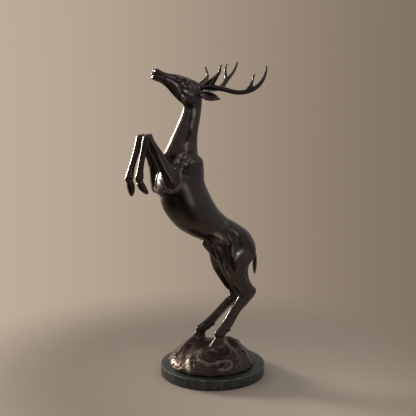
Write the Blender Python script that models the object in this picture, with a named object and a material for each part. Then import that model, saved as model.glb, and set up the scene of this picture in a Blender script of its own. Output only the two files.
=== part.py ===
"""A rearing stag cast in bronze together with the rock under its hooves, standing on a round slab of marble.

The stag faces -X and its left side faces -Y. The origin is the centre of the slab's underside, +Z up.
The figure is worked out in millimetres on a casting 572.5 mm high, from the rock's underside to the top
of the tallest antler, and FIGURE_HEIGHT scales all of it.
"""

import math

import bmesh
import bpy
import numpy as np
from mathutils import Matrix, Vector

MM = 0.001

# Driving dimensions, in metres.
FIGURE_HEIGHT = 572.5 * MM
SLAB_THICKNESS = 20 * MM
SLAB_MARGIN = 16.5 * MM
SLAB_ARRIS = 1.0 * MM
SEAT_GAP = 0.3 * MM

# The casting's own sizes, in millimetres on a casting 572.5 mm high.
DRAWN_HEIGHT = 572.5
ROCK_RADIUS = 83.5
ROCK_CENTRE = (-2.5, 1.2)
ROCK_LIP = 3.0
GRAIN = 1.3
CAST_TRIANGLES = 9300

# Points around each kind of section, and rings between two stations.
SLAB_SIDES = 96
ROCK_SIDES = 96
TRUNK_SIDES = 40
LIMB_SIDES = 28
TINE_SIDES = 16
RINGS_PER_STEP = 4

SCALE = FIGURE_HEIGHT / (DRAWN_HEIGHT * MM)
NEAR, FAR = -1, 1


def clear_scene():
    for obj in list(bpy.data.objects):
        bpy.data.objects.remove(obj)


def material(name, colour, roughness, metallic):
    made = bpy.data.materials.new(name)
    made.use_nodes = True
    shader = made.node_tree.nodes["Principled BSDF"]
    shader.inputs["Base Color"].default_value = (*colour, 1)
    shader.inputs["Roughness"].default_value = roughness
    shader.inputs["Metallic"].default_value = metallic
    return made


# Building shapes from sections.


def whole_circle(count):
    return np.arange(count) * 2 * math.pi / count


def smooth_rows(rows, steps=RINGS_PER_STEP):
    """Rows on a smooth curve through the given ones, so that few stations make a flowing run."""
    rows = np.asarray(rows, float)
    padded = np.vstack([2 * rows[0] - rows[1], rows, 2 * rows[-1] - rows[-2]])
    made = []
    for i in range(1, len(padded) - 2):
        a, b, c, d = padded[i - 1 : i + 3]
        for t in np.arange(steps) / steps:
            made.append(
                0.5 * (2 * b + (c - a) * t + (2 * a - 5 * b + 4 * c - d) * t**2 + (3 * b - a - 3 * c + d) * t**3)
            )
    made.append(rows[-1])
    return np.array(made)


def skin_rings(bm, rings):
    """Closes a run of rings, each of the same count of points, into one body."""
    loops = [[bm.verts.new(p) for p in ring] for ring in rings]
    count = len(loops[0])
    for low, high in zip(loops, loops[1:]):
        for i in range(count):
            j = (i + 1) % count
            bm.faces.new((low[i], low[j], high[j], high[i]))
    for loop, step in ((loops[0], -1), (loops[-1], 1)):
        bm.faces.new(loop[::step])


def body(bm, stations, sides=TRUNK_SIDES, side=0, flutes=()):
    """A run of egg-shaped sections between two outlines of the profile.

    A station is (edge a's x, z, edge b's x, z, sideways centre, half width, bias). A bias above 0 puts the
    widest place nearer to edge a. The sideways centre is taken to the given side, NEAR or FAR, or left out
    on the middle plane. A flute is a groove along the run, cut on both flanks: (degrees from edge a, share
    of the section, width in degrees).
    """
    turns = whole_circle(sides)
    reach = np.ones(sides)
    for turn, depth, spread in flutes:
        for sign in (-1, 1):
            off = np.abs((np.degrees(turns) - sign * turn + 180) % 360 - 180)
            reach -= depth * np.exp(-((off / spread) ** 2)) / (2 if turn in (0, 180) else 1)
    rings = []
    for ax, az, bx, bz, centre, width, bias in smooth_rows(stations):
        middle = np.array([(ax + bx) / 2, 0, (az + bz) / 2])
        half = np.array([(ax - bx) / 2, 0, (az - bz) / 2])
        ring = middle + np.outer(np.cos(turns) * reach, half)
        ring[:, 1] += width * np.sin(turns) * reach * (1 + bias * np.cos(turns)) + side * centre
        rings.append(ring)
    skin_rings(bm, rings)


def tube(bm, stations, sides=TINE_SIDES):
    """A round run along (x, y, z, radius) stations."""
    rows = smooth_rows(stations)
    turns = whole_circle(sides)
    rings = []
    normal = None
    for i, row in enumerate(rows):
        ahead = Vector(rows[min(i + 1, len(rows) - 1)][:3] - rows[max(i - 1, 0)][:3]).normalized()
        if normal is None:
            normal = ahead.orthogonal().normalized()
        normal = (normal - ahead * normal.dot(ahead)).normalized()
        other = ahead.cross(normal)
        rings.append(row[:3] + row[3] * (np.outer(np.cos(turns), normal) + np.outer(np.sin(turns), other)))
    skin_rings(bm, rings)


def mass(bm, centre, radii, lean=0.0, swing=0.0):
    """An ellipsoid for a muscle. lean tips it in the profile and swing turns it about the vertical, in degrees."""
    place = (
        Matrix.Translation(centre)
        @ Matrix.Rotation(math.radians(swing), 4, "Z")
        @ Matrix.Rotation(math.radians(lean), 4, "Y")
        @ Matrix.Diagonal((*radii, 1))
    )
    bmesh.ops.create_uvsphere(bm, u_segments=28, v_segments=18, radius=1, matrix=place)


def distance_to(flat, line):
    """How far each point of a drawing is from a line on it."""
    best = np.full(len(flat), np.inf)
    for start, end in zip(line, line[1:]):
        start, along = np.array(start, float), np.subtract(end, start).astype(float)
        share = np.clip((flat - start) @ along / (along @ along), 0, 1)
        best = np.minimum(best, np.hypot(*(flat - start - np.outer(share, along)).T))
    return best


# The stag and its rock, in millimetres above the slab.


def add_trunk(bm):
    body(
        bm,
        [
            (-36, 412, -86, 404, 0, 20, 0.0), (-24, 396, -92, 384, 0, 27, 0.0), (-20.5, 379, -99, 361, 0, 30, -0.05),
            (-19.5, 358, -105, 334, 0, 31.5, -0.08), (-12, 338, -100, 311, 0, 32, -0.08),
            (-2, 319, -88, 291, 0, 31.5, -0.06), (11, 300, -70, 271, 0, 30, 0.0), (28, 284, -46, 255, 0, 28, 0.05),
            (50, 270.5, -18, 240, 0, 27.5, 0.1), (71, 255, 8, 213, 0, 27, 0.1), (83, 239, 30, 196, 0, 25, 0.1),
            (89, 221, 48, 190, 0, 20, 0.1), (88, 205, 62, 190, 0, 11, 0.0),
        ],
    )
    # The breast between the folded forelegs, and the shoulder blades' rounded tops at the withers.
    mass(bm, (-96, 0, 372), (15, 15, 30), lean=8)
    for side in (NEAR, FAR):
        mass(bm, (-51, side * 15.5, 389), (23, 15, 20), lean=-8)
        mass(bm, (-66, side * 15, 398), (20, 12, 22), lean=30)


def add_neck(bm):
    body(
        bm,
        [
            (-32, 396, -86, 392, 0, 24, 0.0), (-33, 412, -97, 409, 0, 23, 0.1), (-33, 433, -88, 430, 0, 19, 0.0),
            (-31, 452, -77, 452, 0, 16.5, 0.0), (-27.5, 470, -68, 470, 0, 14.5, 0.0),
            (-24.5, 488, -60.5, 487, 0, 13, 0.0), (-23, 506, -58, 500, 0, 13, 0.0), (-22, 520, -54, 508, 0, 13, 0.0),
            (-26, 530, -46, 514, 0, 11, 0.0),
        ],
        LIMB_SIDES,
    )


def add_head(bm):
    body(
        bm,
        [
            (-22, 524, -34, 506, 0, 9, 0.0), (-26, 534, -46, 500, 0, 12.5, 0.1), (-36, 541, -57, 498, 0, 14, 0.1),
            (-48, 545.5, -65, 503, 0, 13.5, 0.2), (-60, 550, -74, 511, 0, 13.5, 0.3), (-71, 553, -82, 519, 0, 11.5, 0.2),
            (-84, 554.5, -90, 528, 0, 9.3, 0.1), (-96, 557.5, -98, 535, 0, 7.8, 0.0), (-104, 561.5, -107, 540, 0, 8.2, 0.0),
            (-110, 564, -113, 542, 0, 8.6, 0.0), (-116, 560.5, -118, 544.5, 0, 7.6, 0.0), (-120.5, 556, -120.5, 548, 0, 4.6, 0.0),
        ],
        LIMB_SIDES,
    )
    for side in (NEAR, FAR):
        mass(bm, (-52, side * 8.5, 515), (14, 6.5, 12), lean=-30)
        mass(bm, (-66, side * 8.8, 545.5), (10, 4.6, 3.4), lean=14)
        mass(bm, (-61.5, side * 10.8, 536.5), (5, 4, 4.6))
        mass(bm, (-112, side * 5.5, 559), (5, 3.2, 4.6), lean=20)


def add_ears(bm):
    leaf = [
        (0, 3.4, 3.6, 0), (0.14, 4.8, 3.2, 0.6), (0.3, 7.0, 2.3, 2.6), (0.5, 7.8, 1.7, 3.4), (0.7, 6.3, 1.4, 2.4),
        (0.87, 3.4, 1.2, 0.9), (1, 0.5, 0.6, 0),
    ]
    turns = whole_circle(LIMB_SIDES)
    for side in (NEAR, FAR):
        root = Vector((-38, side * 13, 519.5))
        tip = Vector((-5, side * 38, 511.5))
        along = (tip - root).normalized()
        broad = Vector((0.25, 0, 1))
        broad = (broad - along * broad.dot(along)).normalized()
        front = along.cross(broad) * -side
        rings = []
        for share, half, thick, cup in smooth_rows(leaf):
            rings.append(
                np.array(root + (tip - root) * share)
                + np.outer(np.cos(turns) * half, broad)
                + np.outer(np.sin(turns) * thick - np.sin(turns) ** 2 * cup, front)
            )
        skin_rings(bm, rings)


def add_antlers(bm):
    near_runs = [
        [
            (-30, -6, 529, 5.6), (-20, -12, 529.7, 5.2), (-11.4, -20, 529.3, 5.0), (-3.2, -28, 528.2, 4.8),
            (7, -36, 525.8, 4.5), (17, -44, 522.5, 4.4), (27.6, -51, 520.9, 4.4), (38.6, -57, 522.3, 4.4),
            (48.6, -61, 526, 4.4), (59, -64, 532.5, 3.9), (67.3, -65.5, 542.2, 3.3), (73, -65, 552.8, 2.7),
            (75.8, -64, 562.5, 2.1), (76.9, -63, 568.4, 1.4),
        ],
        [
            (-26, -9, 531, 3.6), (-17.6, -14, 538.5, 3.3), (-10.4, -20, 544.2, 3.3), (-4.3, -26, 550.7, 3.5),
            (-0.7, -30, 558.1, 2.6), (-0.9, -32, 564.4, 2.0), (2, -33, 570.2, 1.3),
        ],
        [(-9, -22, 529, 4.4), (-6, -25.5, 538, 4.0), (-3.5, -27.5, 547, 3.6), (-2, -29, 553, 3.0)],
        [(42, -57, 525, 4.4), (46, -59.5, 532, 3.7), (49, -60.5, 540, 2.4), (51.2, -61, 548.2, 1.8), (54.4, -61, 553.8, 1.2)],
    ]
    far_runs = [
        [
            (-30, 6, 529, 5.6), (-20, 11, 530, 5.2), (-11, 17, 527.5, 4.9), (2, 25, 524.7, 4.6), (19, 36, 522.8, 4.4),
            (35, 46, 524.4, 4.5), (47.5, 54, 530.4, 4.5), (57, 59, 538.6, 4.2), (66.5, 62, 546.7, 3.2),
            (74.4, 64, 555.2, 2.8), (78.8, 64, 563.7, 2.2), (81.8, 63, 572.6, 1.4),
        ],
        [
            (-25, 8.5, 532, 3.6), (-17, 11, 537, 3.2), (-9.7, 16, 541, 3.2), (-1.9, 22, 544.7, 3.1), (1.6, 27, 549, 2.7),
            (1.1, 30, 556.3, 2.0), (-1.2, 32, 565.5, 1.3),
        ],
        [(-9, 18, 528, 4.4), (-6, 19.5, 535, 3.9), (-2.5, 22, 543, 3.2)],
        [
            (47, 54, 528, 4.4), (53, 57.5, 537, 3.7), (54.8, 59, 545, 2.8), (54.3, 60, 553.7, 2.4), (54.8, 60, 561.3, 1.8),
            (57.8, 60, 569.4, 1.2),
        ],
    ]
    for run in near_runs + far_runs:
        tube(bm, run)
    # The flat palms between beam and brow tine, and the burrs.
    for side in (NEAR, FAR):
        mass(bm, (-14, side * 16.5, 535), (9, 2.8, 6.5), lean=-20, swing=side * 38)
        mass(bm, (-26, side * 8.5, 530), (5, 6, 6.6), lean=10)


def add_forelegs(bm):
    """Each foreleg: the upper arm, the forearm folded up from the elbow, the cannon hanging from the knee, the hoof."""
    near = [
        [
            (-62, 408, -86, 404, 20, 8, 0), (-70, 394, -91, 390, 25, 10, 0), (-73.5, 374, -93, 371, 27, 9.5, 0),
            (-75, 361, -97, 360, 27.5, 9.2, 0), (-80, 350, -100, 351, 27.5, 8.6, 0), (-88, 344.5, -99, 345.5, 27.5, 6, 0),
        ],
        [
            (-80, 350, -92, 342.5, 27.5, 5.5, 0), (-78, 361, -101, 344.5, 27.5, 9, 0), (-84, 373, -108, 357, 27, 9.5, 0),
            (-93, 391, -115, 379, 25.5, 8.5, 0), (-105, 409, -124, 400, 24, 7.5, 0), (-118.5, 428, -134, 420, 24, 6.5, 0),
            (-127, 441, -141.5, 435, 24, 6.6, 0), (-130, 450, -146, 444, 24, 6.2, 0),
        ],
        [
            (-132, 451.5, -144, 450, 24, 4.6, 0), (-130.5, 449, -147, 446, 24, 6.4, 0), (-133, 441, -148.5, 440, 24, 6.6, 0),
            (-136, 431, -150, 432, 24, 6.2, 0), (-140, 421, -152, 422, 24, 5.2, 0), (-144.5, 405, -155.2, 406, 24, 4.8, 0),
            (-147.3, 388, -158.8, 389, 24, 4.9, 0), (-147, 377, -162, 377.5, 24, 5.6, 0), (-147.5, 371, -163, 371, 24, 5.6, 0),
            (-150.3, 366.5, -160, 366, 24, 4.8, 0),
        ],
        [
            (-150, 374, -160, 369, 24, 4.6, 0), (-149, 369, -161, 364, 24, 5.4, 0), (-145.2, 363, -158, 356.5, 24, 6.0, 0),
            (-141, 355, -152, 348.5, 24, 6.2, 0), (-138.5, 348, -145.5, 344, 24, 4.8, 0), (-138.8, 344.5, -141.5, 343, 24, 2.2, 0),
        ],
    ]
    far = [
        [
            (-62, 408, -86, 400, 20, 8, 0), (-72, 390, -98, 384, 25, 10, 0), (-78, 370, -104, 366, 27, 9.5, 0),
            (-83, 354, -107, 352, 27.5, 9.2, 0), (-90, 343, -108, 343, 27.5, 8.6, 0), (-97, 337.5, -106, 338, 27.5, 6, 0),
        ],
        [
            (-88, 343, -100, 335, 27.5, 5.5, 0), (-85, 354, -109, 338, 27.5, 9, 0), (-89, 368, -114.5, 354, 27, 9.5, 0),
            (-94, 386, -117, 376, 25.5, 8.5, 0), (-103, 404, -121.5, 396, 24, 7.5, 0), (-114, 423, -129.5, 416, 24, 6.5, 0),
            (-121.5, 436, -136.5, 430, 24, 6.6, 0), (-125, 445, -141, 439, 24, 6.2, 0),
        ],
        [
            (-127, 446.5, -139, 445, 24, 4.6, 0), (-125.5, 444.5, -142, 441.5, 24, 6.4, 0), (-128, 436, -143.5, 435, 24, 6.6, 0),
            (-131, 426, -145.5, 427, 24, 6.2, 0), (-135, 416, -148, 417, 24, 5.2, 0), (-140.5, 402, -151.8, 404, 24, 4.8, 0),
            (-146, 384, -158, 386, 24, 4.9, 0), (-148, 371, -163, 372, 24, 5.6, 0), (-148.8, 365, -165, 364, 24, 5.6, 0),
            (-151.5, 361, -162, 360, 24, 4.8, 0),
        ],
        [
            (-150.5, 366, -162, 364, 24, 4.8, 0), (-149, 361, -162.5, 360, 24, 5.4, 0), (-146.4, 352, -162, 351, 24, 6.4, 0),
            (-146.8, 343, -159.5, 342, 24, 6.4, 0), (-149.5, 336, -156.5, 335.5, 24, 4.6, 0), (-152, 333, -154.5, 332.8, 24, 2.2, 0),
        ],
    ]
    flutes = [(), ((118, 0.16, 16),), ((52, 0.2, 13), (112, 0.1, 12)), ((0, 0.45, 14), (180, 0.45, 14))]
    for side, leg in ((NEAR, near), (FAR, far)):
        for run, grooves in zip(leg, flutes):
            body(bm, run, LIMB_SIDES, side, grooves)


def add_hind_legs(bm):
    """Each hind leg as thigh and gaskin to the hock, then the cannon, pastern and hoof down into the rock."""
    near = [
        [
            (79, 240, 22, 246, 11, 12, 0), (84, 219, 6, 226, 15, 15, 0), (79, 205, 2.5, 207, 18, 16, 0.05),
            (67.5, 192, 6.5, 193, 20, 14, 0.05), (63.5, 181, 12.5, 178, 22, 11.5, 0), (64.5, 167, 24, 160, 24, 9, 0),
            (70, 154.5, 34.5, 148, 25, 7.8, 0), (77, 145, 40, 142, 25, 7.4, 0), (79, 136, 48, 138, 25, 5.5, 0),
        ],
        [
            (68, 155, 40, 150, 25, 5.5, 0), (79.8, 142, 40.8, 142, 25, 7.8, 0), (73.5, 128, 43, 134, 25, 7.2, 0),
            (53.5, 110, 36, 122.5, 25, 6.2, 0), (41, 95.5, 24.5, 108, 25, 5.8, 0), (26.5, 73, 9.8, 86.5, 25, 6.0, 0),
            (17.5, 63, -5.5, 70, 25, 7.0, 0), (13, 57.5, -9, 64, 25, 7.0, 0),
        ],
        [(14, 60, -7, 66, 25, 6, 0), (11, 54, -7.5, 57, 25, 6.2, 0), (13, 45, -13, 49, 25, 8, 0), (17, 32, -20, 36, 25, 11, 0)],
    ]
    far = [
        [
            (79, 240, 22, 246, 11, 12, 0), (84, 217, 4, 226, 15, 15, 0), (81, 201, 2, 207, 18, 16, 0.05),
            (71, 186, 6.5, 191, 20, 14, 0.05), (67, 172, 13.5, 176, 22, 11.5, 0), (69, 155, 26, 157, 24, 9, 0),
            (76, 138, 38, 140, 25, 7.8, 0), (82, 128, 45, 133, 25, 7.4, 0), (84, 119, 54, 127, 25, 5.5, 0),
        ],
        [
            (74, 138, 43, 140, 25, 5.5, 0), (85, 124, 47, 132, 25, 7.8, 0), (75, 110, 47.5, 122, 25, 7.2, 0),
            (49, 97.5, 36, 113, 25, 6.2, 0), (25, 77, 12.4, 92, 25, 5.8, 0), (6.5, 60.5, -8, 76, 25, 6.0, 0),
            (-1, 57, -22, 68, 25, 7.0, 0), (-4, 54, -25, 63, 25, 7.0, 0),
        ],
        [(-3, 56, -24, 65, 25, 6, 0), (-5, 50, -25.5, 57, 25, 6.2, 0), (-4, 41, -36, 46, 25, 8, 0), (-4, 30, -50, 34, 25, 11, 0)],
    ]
    claws = {NEAR: (20.5, 70.5), FAR: (11, 69)}
    flutes = [(), ((48, 0.22, 13), (100, 0.14, 12)), ()]
    for side, leg in ((NEAR, near), (FAR, far)):
        for run, grooves in zip(leg, flutes):
            body(bm, run, LIMB_SIDES, side, grooves)
        x, z = claws[side]
        for across in (-3.8, 3.8):
            mass(bm, (x, side * 25 + across, z), (5.6, 2.6, 3.8), lean=40)
        mass(bm, (50, side * 15, 232), (28, 12.5, 22), lean=35)


def add_tail(bm):
    body(
        bm,
        [
            (84, 216, 80, 208, 0, 4, 0), (92, 208, 86, 203, 0, 5, 0), (93.5, 197, 86.5, 195, 0, 5.2, 0),
            (94, 186, 85.5, 185, 0, 5, 0), (93, 175, 86.5, 175, 0, 3.8, 0), (91, 166, 88.6, 166, 0, 1.6, 0),
        ],
        LIMB_SIDES,
    )


def add_sheath(bm):
    tube(bm, [(20, 0, 196, 4.5), (8, 0, 206, 4.8), (-6, 0, 222, 4.6), (-16, 0, 233, 3.8), (-22, 0, 239, 1.8)], LIMB_SIDES)


# Lines drawn on the rock's plan: (height, width, points).
ROCK_FOLDS = [
    (2.6, 4.5, [(-50, 8), (-61, 14), (-70, 20), (-76, 25)]),
    (2.4, 4.0, [(-34, 3), (-47, -5), (-54, -15)]),
    (2.8, 5.0, [(-62, -29), (-69, -36), (-73, -42)]),
    (2.6, 3.5, [(-58, -42), (-65, -51)]),
    (-2.6, 2.8, [(-61, -35), (-69, -46)]),
    (2.2, 3.2, [(-50, -45), (-42, -54), (-31, -62), (-25, -68), (-16, -66), (-6, -66)]),
    (2.6, 3.4, [(-6, -66), (2, -70), (4, -74), (0, -76), (-10, -77), (-24, -76)]),
    (-2.0, 3.0, [(-26, -72), (-16, -72), (-6, -72)]),
    (2.4, 3.6, [(28, 5), (25, -24), (29, -42), (38, -50), (42, -62)]),
    (2.2, 3.6, [(48, -4), (55, -17), (57, -33), (55, -50)]),
    (1.8, 3.2, [(15, -30), (14, -44), (20, -56)]),
    (-2.2, 4.0, [(36, -4), (36, -22), (42, -38)]),
    (1.8, 4.0, [(-31, -32), (-22, -40), (-14, -52)]),
    (2.0, 4.5, [(-18, 66), (10, 62), (34, 54)]),
    (2.2, 4.0, [(60, 12), (52, 36), (30, 66)]),
    (-2.0, 4.5, [(-40, 52), (-20, 46), (4, 48), (30, 34)]),
    (1.8, 4.0, [(-66, 34), (-48, 52), (-34, 66)]),
]


def rock_height(x, y):
    """The rock's top over (x, y): a dome with a ridge under each hind foot, a hump behind them and folds."""
    reach = np.hypot(x - ROCK_CENTRE[0], y - ROCK_CENTRE[1]) / ROCK_RADIUS
    dome = 38 * np.clip(1 - reach**1.7, 0, 1) ** 0.62

    def swell(cx, cy, along, across, turn, height):
        c, s = math.cos(math.radians(turn)), math.sin(math.radians(turn))
        u, v = (x - cx) * c + (y - cy) * s, -(x - cx) * s + (y - cy) * c
        return height * np.exp(-((u / along) ** 2) - (v / across) ** 2)

    relief = (
        swell(-36, 24, 30, 14, 12, 13)
        + swell(2, -24, 18, 12, -60, 11)
        + swell(46, 16, 22, 24, 20, 9)
        - swell(-12, -2, 26, 7, 20, 5)
        - swell(26, 0, 10, 26, 35, 4)
        + swell(-40, -40, 22, 14, 50, 6)
        + swell(8, -58, 26, 12, 0, 5)
    )
    spots = np.stack([x, y], 1)
    for height, width, line in ROCK_FOLDS:
        relief = relief + height * np.exp(-((distance_to(spots, line) / width) ** 2))
    return dome + relief * np.clip(1.2 - reach, 0, 0.25) * 4


def add_rock(bm):
    turns = whole_circle(ROCK_SIDES)
    centre = np.array([*ROCK_CENTRE, 0])
    rim = ROCK_RADIUS * np.stack([np.cos(turns), np.sin(turns), np.zeros(ROCK_SIDES)], 1)
    rings = [centre + rim * 0.985, centre + rim + np.array([0, 0, ROCK_LIP])]
    for share in np.linspace(1, 0.02, 40)[1:]:
        ring = centre + rim * share
        ring[:, 2] = ROCK_LIP + rock_height(ring[:, 0], ring[:, 1])
        rings.append(ring)
    skin_rings(bm, rings)


# Turning the overlapping shapes into one cast skin.


def neighbour_table(mesh):
    """Each vertex's neighbours, padded with the vertex itself, and how many it really has."""
    count = len(mesh.vertices)
    edges = np.empty(len(mesh.edges) * 2, dtype=np.int32)
    mesh.edges.foreach_get("vertices", edges)
    edges = edges.reshape(-1, 2)
    both = np.vstack([edges, edges[:, ::-1]])
    both = both[np.argsort(both[:, 0], kind="stable")]
    degree = np.bincount(both[:, 0], minlength=count)
    starts = np.concatenate([[0], np.cumsum(degree)[:-1]])
    table = np.tile(np.arange(count)[:, None], (1, degree.max()))
    table[both[:, 0], np.arange(len(both)) - starts[both[:, 0]]] = both[:, 1]
    return table, degree


def read_places(mesh):
    places = np.empty(len(mesh.vertices) * 3)
    mesh.vertices.foreach_get("co", places)
    return places.reshape(-1, 3)


def write_places(mesh, places):
    mesh.vertices.foreach_set("co", places.ravel())
    mesh.update()


def read_normals(mesh):
    normals = np.empty(len(mesh.vertices) * 3, dtype=np.float32)
    mesh.vertex_normals.foreach_get("vector", normals)
    return normals.reshape(-1, 3).astype(float)


def softness(places):
    """How far creases are filled: fully on the body, less on the head, the limbs' ends and the antlers."""
    x, y, z = places.T
    soft = np.ones(len(places))
    soft[(z > 500) & (x < -36)] = 0.3
    soft[(z > 515) & (x > -24)] = 0.35
    soft[(x < -112) & (z < 470)] = 0.3
    soft[(z < 160) & (z > 60)] = 0.3
    soft[(x > 84) & (z > 150) & (z < 205)] = 0.15
    return soft


def fill_creases(mesh, rounds):
    """Fills the creases where shapes meet, as clay would be, and leaves the rounded parts as they are."""
    table, degree = neighbour_table(mesh)
    places = read_places(mesh)
    spare = (table.shape[1] - degree)[:, None]
    soft = softness(places)[:, None]
    for step in range(rounds):
        if step % 4 == 0:
            write_places(mesh, places)
            normals = read_normals(mesh)
        pull = (places[table].sum(axis=1) - spare * places) / degree[:, None] - places
        rise = (pull * normals).sum(axis=1, keepdims=True)
        places = places + 0.9 * soft * np.clip(rise, 0, None) * normals + 0.3 * (pull - rise * normals)
    for factor in (0.5, -0.52) * 5:
        pull = (places[table].sum(axis=1) - spare * places) / degree[:, None] - places
        places = places + factor * pull
    write_places(mesh, places)


def model_surface(mesh, marks):
    """Raises ridges and presses grooves. A mark is (height, width, line on the profile, sides)."""
    places, normals = read_places(mesh), read_normals(mesh)
    profile = places[:, (0, 2)]
    lift = np.zeros(len(places))
    for height, width, line, sides in marks:
        strength = height * np.exp(-((distance_to(profile, line) / width) ** 2))
        for side in sides:
            lift += strength * np.clip(side * normals[:, 1] * 1.6, 0, 1) * (side * places[:, 1] > 1)
    write_places(mesh, places + normals * lift[:, None])


BOTH = (NEAR, FAR)


def shifted(line, dx, dz):
    return [(x + dx, z + dz) for x, z in line]


ARM_FOLD = [(-81.5, 403), (-81.5, 392), (-81, 381), (-81, 361.5), (-89, 351), (-98.5, 348), (-106, 354)]
ARM_EDGE = [(-115, 369), (-110, 356), (-104.5, 346.5), (-96.5, 342.5), (-87, 345.5), (-79, 354), (-75, 364.5), (-76, 376)]
ARM_HOLLOW = [(-91, 396), (-90, 384), (-90, 372), (-94, 362)]
MARKS = [
    # The neck's crease and cords, the throat, and the collar over the breast.
    (-2.4, 3.4, [(-52, 493), (-52, 475), (-52, 453), (-56, 439), (-60, 426), (-64, 418)], BOTH),
    (1.3, 3.6, [(-45, 486), (-46, 471), (-48, 457)], BOTH),
    (1.2, 3.2, [(-57, 433), (-61, 421), (-61.5, 412)], BOTH),
    (0.9, 4.5, [(-60, 479), (-64.5, 458), (-70.5, 440), (-76.5, 422)], BOTH),
    (-2.2, 3.0, [(-69, 508), (-63, 502.5), (-55.5, 498), (-49.5, 491.5)], BOTH),
    (1.2, 2.6, [(-84, 409), (-76, 411.5), (-68, 411.5), (-60, 412)], BOTH),
    # The shoulder blade's top and the pit before it.
    (-1.8, 3.0, [(-74, 405), (-64.5, 411.5), (-54, 414), (-42, 413), (-33, 408)], BOTH),
    (-1.4, 4.0, [(-68, 376), (-58, 366), (-44, 365), (-32, 370)], BOTH),
    (-3.6, 3.4, [(-71, 385), (-67, 381.5)], BOTH),
    # The arm folded at the elbow.
    (1.2, 2.4, ARM_FOLD, (NEAR,)),
    (1.2, 2.2, ARM_EDGE, (NEAR,)),
    (-2.4, 4.0, ARM_HOLLOW, (NEAR,)),
    (1.2, 2.4, shifted(ARM_FOLD, -10, -6), (FAR,)),
    (1.2, 2.2, shifted(ARM_EDGE, -10, -6), (FAR,)),
    (-2.4, 4.0, shifted(ARM_HOLLOW, -10, -6), (FAR,)),
    # The haunch and the flank.
    (-1.6, 2.8, [(12.5, 280.5), (22.5, 270), (34, 260)], BOTH),
    (1.3, 2.6, [(16, 272.5), (27, 262), (38, 253)], BOTH),
    (1.0, 3.0, [(18, 253.5), (24.5, 237.5)], BOTH),
    (2.2, 5.0, [(-9, 263.5), (-0.5, 255.5), (10, 243)], BOTH),
    (-2.4, 5.5, [(-15, 255), (-4.5, 245.5), (7, 231)], BOTH),
    (1.4, 2.4, [(27.5, 239), (28, 226), (27, 213)], BOTH),
    (-2.0, 3.6, [(22.5, 236), (22.5, 218), (24, 203), (29.5, 187)], BOTH),
    (-2.2, 4.5, [(43, 231), (42, 222)], BOTH),
    (1.6, 4.5, [(40, 214), (44, 206)], BOTH),
    (1.2, 2.6, [(8.5, 207), (16, 188.5), (22, 176.5)], BOTH),
    (-1.2, 2.6, [(13, 207), (20.5, 189), (26, 178)], BOTH),
    (-1.2, 3.0, [(71, 199), (62, 188), (57, 176), (59, 163), (68, 151)], BOTH),
    # The head: facial ridge, cheek, eye socket and mouth.
    (1.4, 2.6, [(-112, 553), (-99, 546.5), (-85.5, 542), (-77.5, 535.5), (-72, 527.5), (-68, 518.5), (-62.5, 511.5)], BOTH),
    (-1.4, 3.2, [(-96, 539), (-84, 531.5), (-77, 521), (-70, 511)], BOTH),
    (1.0, 2.2, [(-72.5, 531), (-67.5, 525), (-61.5, 521), (-52, 518.5)], BOTH),
    (-1.6, 2.2, [(-69.5, 536.5), (-66, 543), (-57, 542), (-52.5, 535), (-58, 529.5), (-66, 531), (-69.5, 536.5)], BOTH),
    (-1.6, 1.8, [(-125, 552.3), (-116, 550), (-107, 545.5), (-98, 540)], BOTH),
    (-2.0, 1.8, [(-114.5, 559.5), (-113, 558.5)], BOTH),
]


def make_casting():
    bm = bmesh.new()
    for add in (
        add_trunk, add_neck, add_head, add_ears, add_antlers, add_forelegs, add_hind_legs, add_tail, add_sheath, add_rock,
    ):
        add(bm)
    bmesh.ops.recalc_face_normals(bm, faces=bm.faces)
    rough = bpy.data.meshes.new("rough_shapes")
    bm.to_mesh(rough)
    bm.free()
    block = bpy.data.objects.new("rough_shapes", rough)
    bpy.context.scene.collection.objects.link(block)
    cast = block.modifiers.new("cast", "REMESH")
    cast.mode = "VOXEL"
    cast.voxel_size = GRAIN
    skin = bpy.data.meshes.new_from_object(block.evaluated_get(bpy.context.evaluated_depsgraph_get()))
    bpy.data.objects.remove(block)
    bpy.data.meshes.remove(rough)
    skin.name = "stag_on_rock"
    fill_creases(skin, round(45 / GRAIN**2))
    model_surface(skin, MARKS)
    places = read_places(skin)
    places[:, 2] = np.maximum(places[:, 2], 0)
    low = places[:, 2] < 0.45 * GRAIN
    places[low, 2] = 0
    places *= SCALE * MM
    places[:, 2] += SLAB_THICKNESS + SEAT_GAP
    write_places(skin, places)
    obj = bpy.data.objects.new("stag_on_rock", skin)
    bpy.context.scene.collection.objects.link(obj)
    skin.calc_loop_triangles()
    thin = obj.modifiers.new("thin", "DECIMATE")
    thin.ratio = CAST_TRIANGLES / len(skin.loop_triangles)
    skin.materials.append(material("patinated bronze", (0.035, 0.024, 0.02), 0.3, 1.0))
    return obj


def make_slab():
    radius = ROCK_RADIUS * MM * SCALE + SLAB_MARGIN
    bm = bmesh.new()
    bmesh.ops.create_cone(
        bm, cap_ends=True, segments=SLAB_SIDES, radius1=radius, radius2=radius, depth=SLAB_THICKNESS,
        matrix=Matrix.Translation((0, 0, SLAB_THICKNESS / 2)),
    )
    rims = [e for e in bm.edges if abs(e.verts[0].co.z - e.verts[1].co.z) < SLAB_THICKNESS / 2]
    bmesh.ops.bevel(bm, geom=rims, offset=SLAB_ARRIS, segments=2, affect="EDGES")
    mesh = bpy.data.meshes.new("marble_base")
    bm.to_mesh(mesh)
    bm.free()
    obj = bpy.data.objects.new("marble_base", mesh)
    bpy.context.scene.collection.objects.link(obj)
    mesh.shade_smooth()
    mesh.set_sharp_from_angle(angle=math.radians(30))
    mesh.materials.append(material("dark green marble", (0.03, 0.036, 0.033), 0.35, 0.0))
    return obj


clear_scene()
make_casting()
make_slab()
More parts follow.
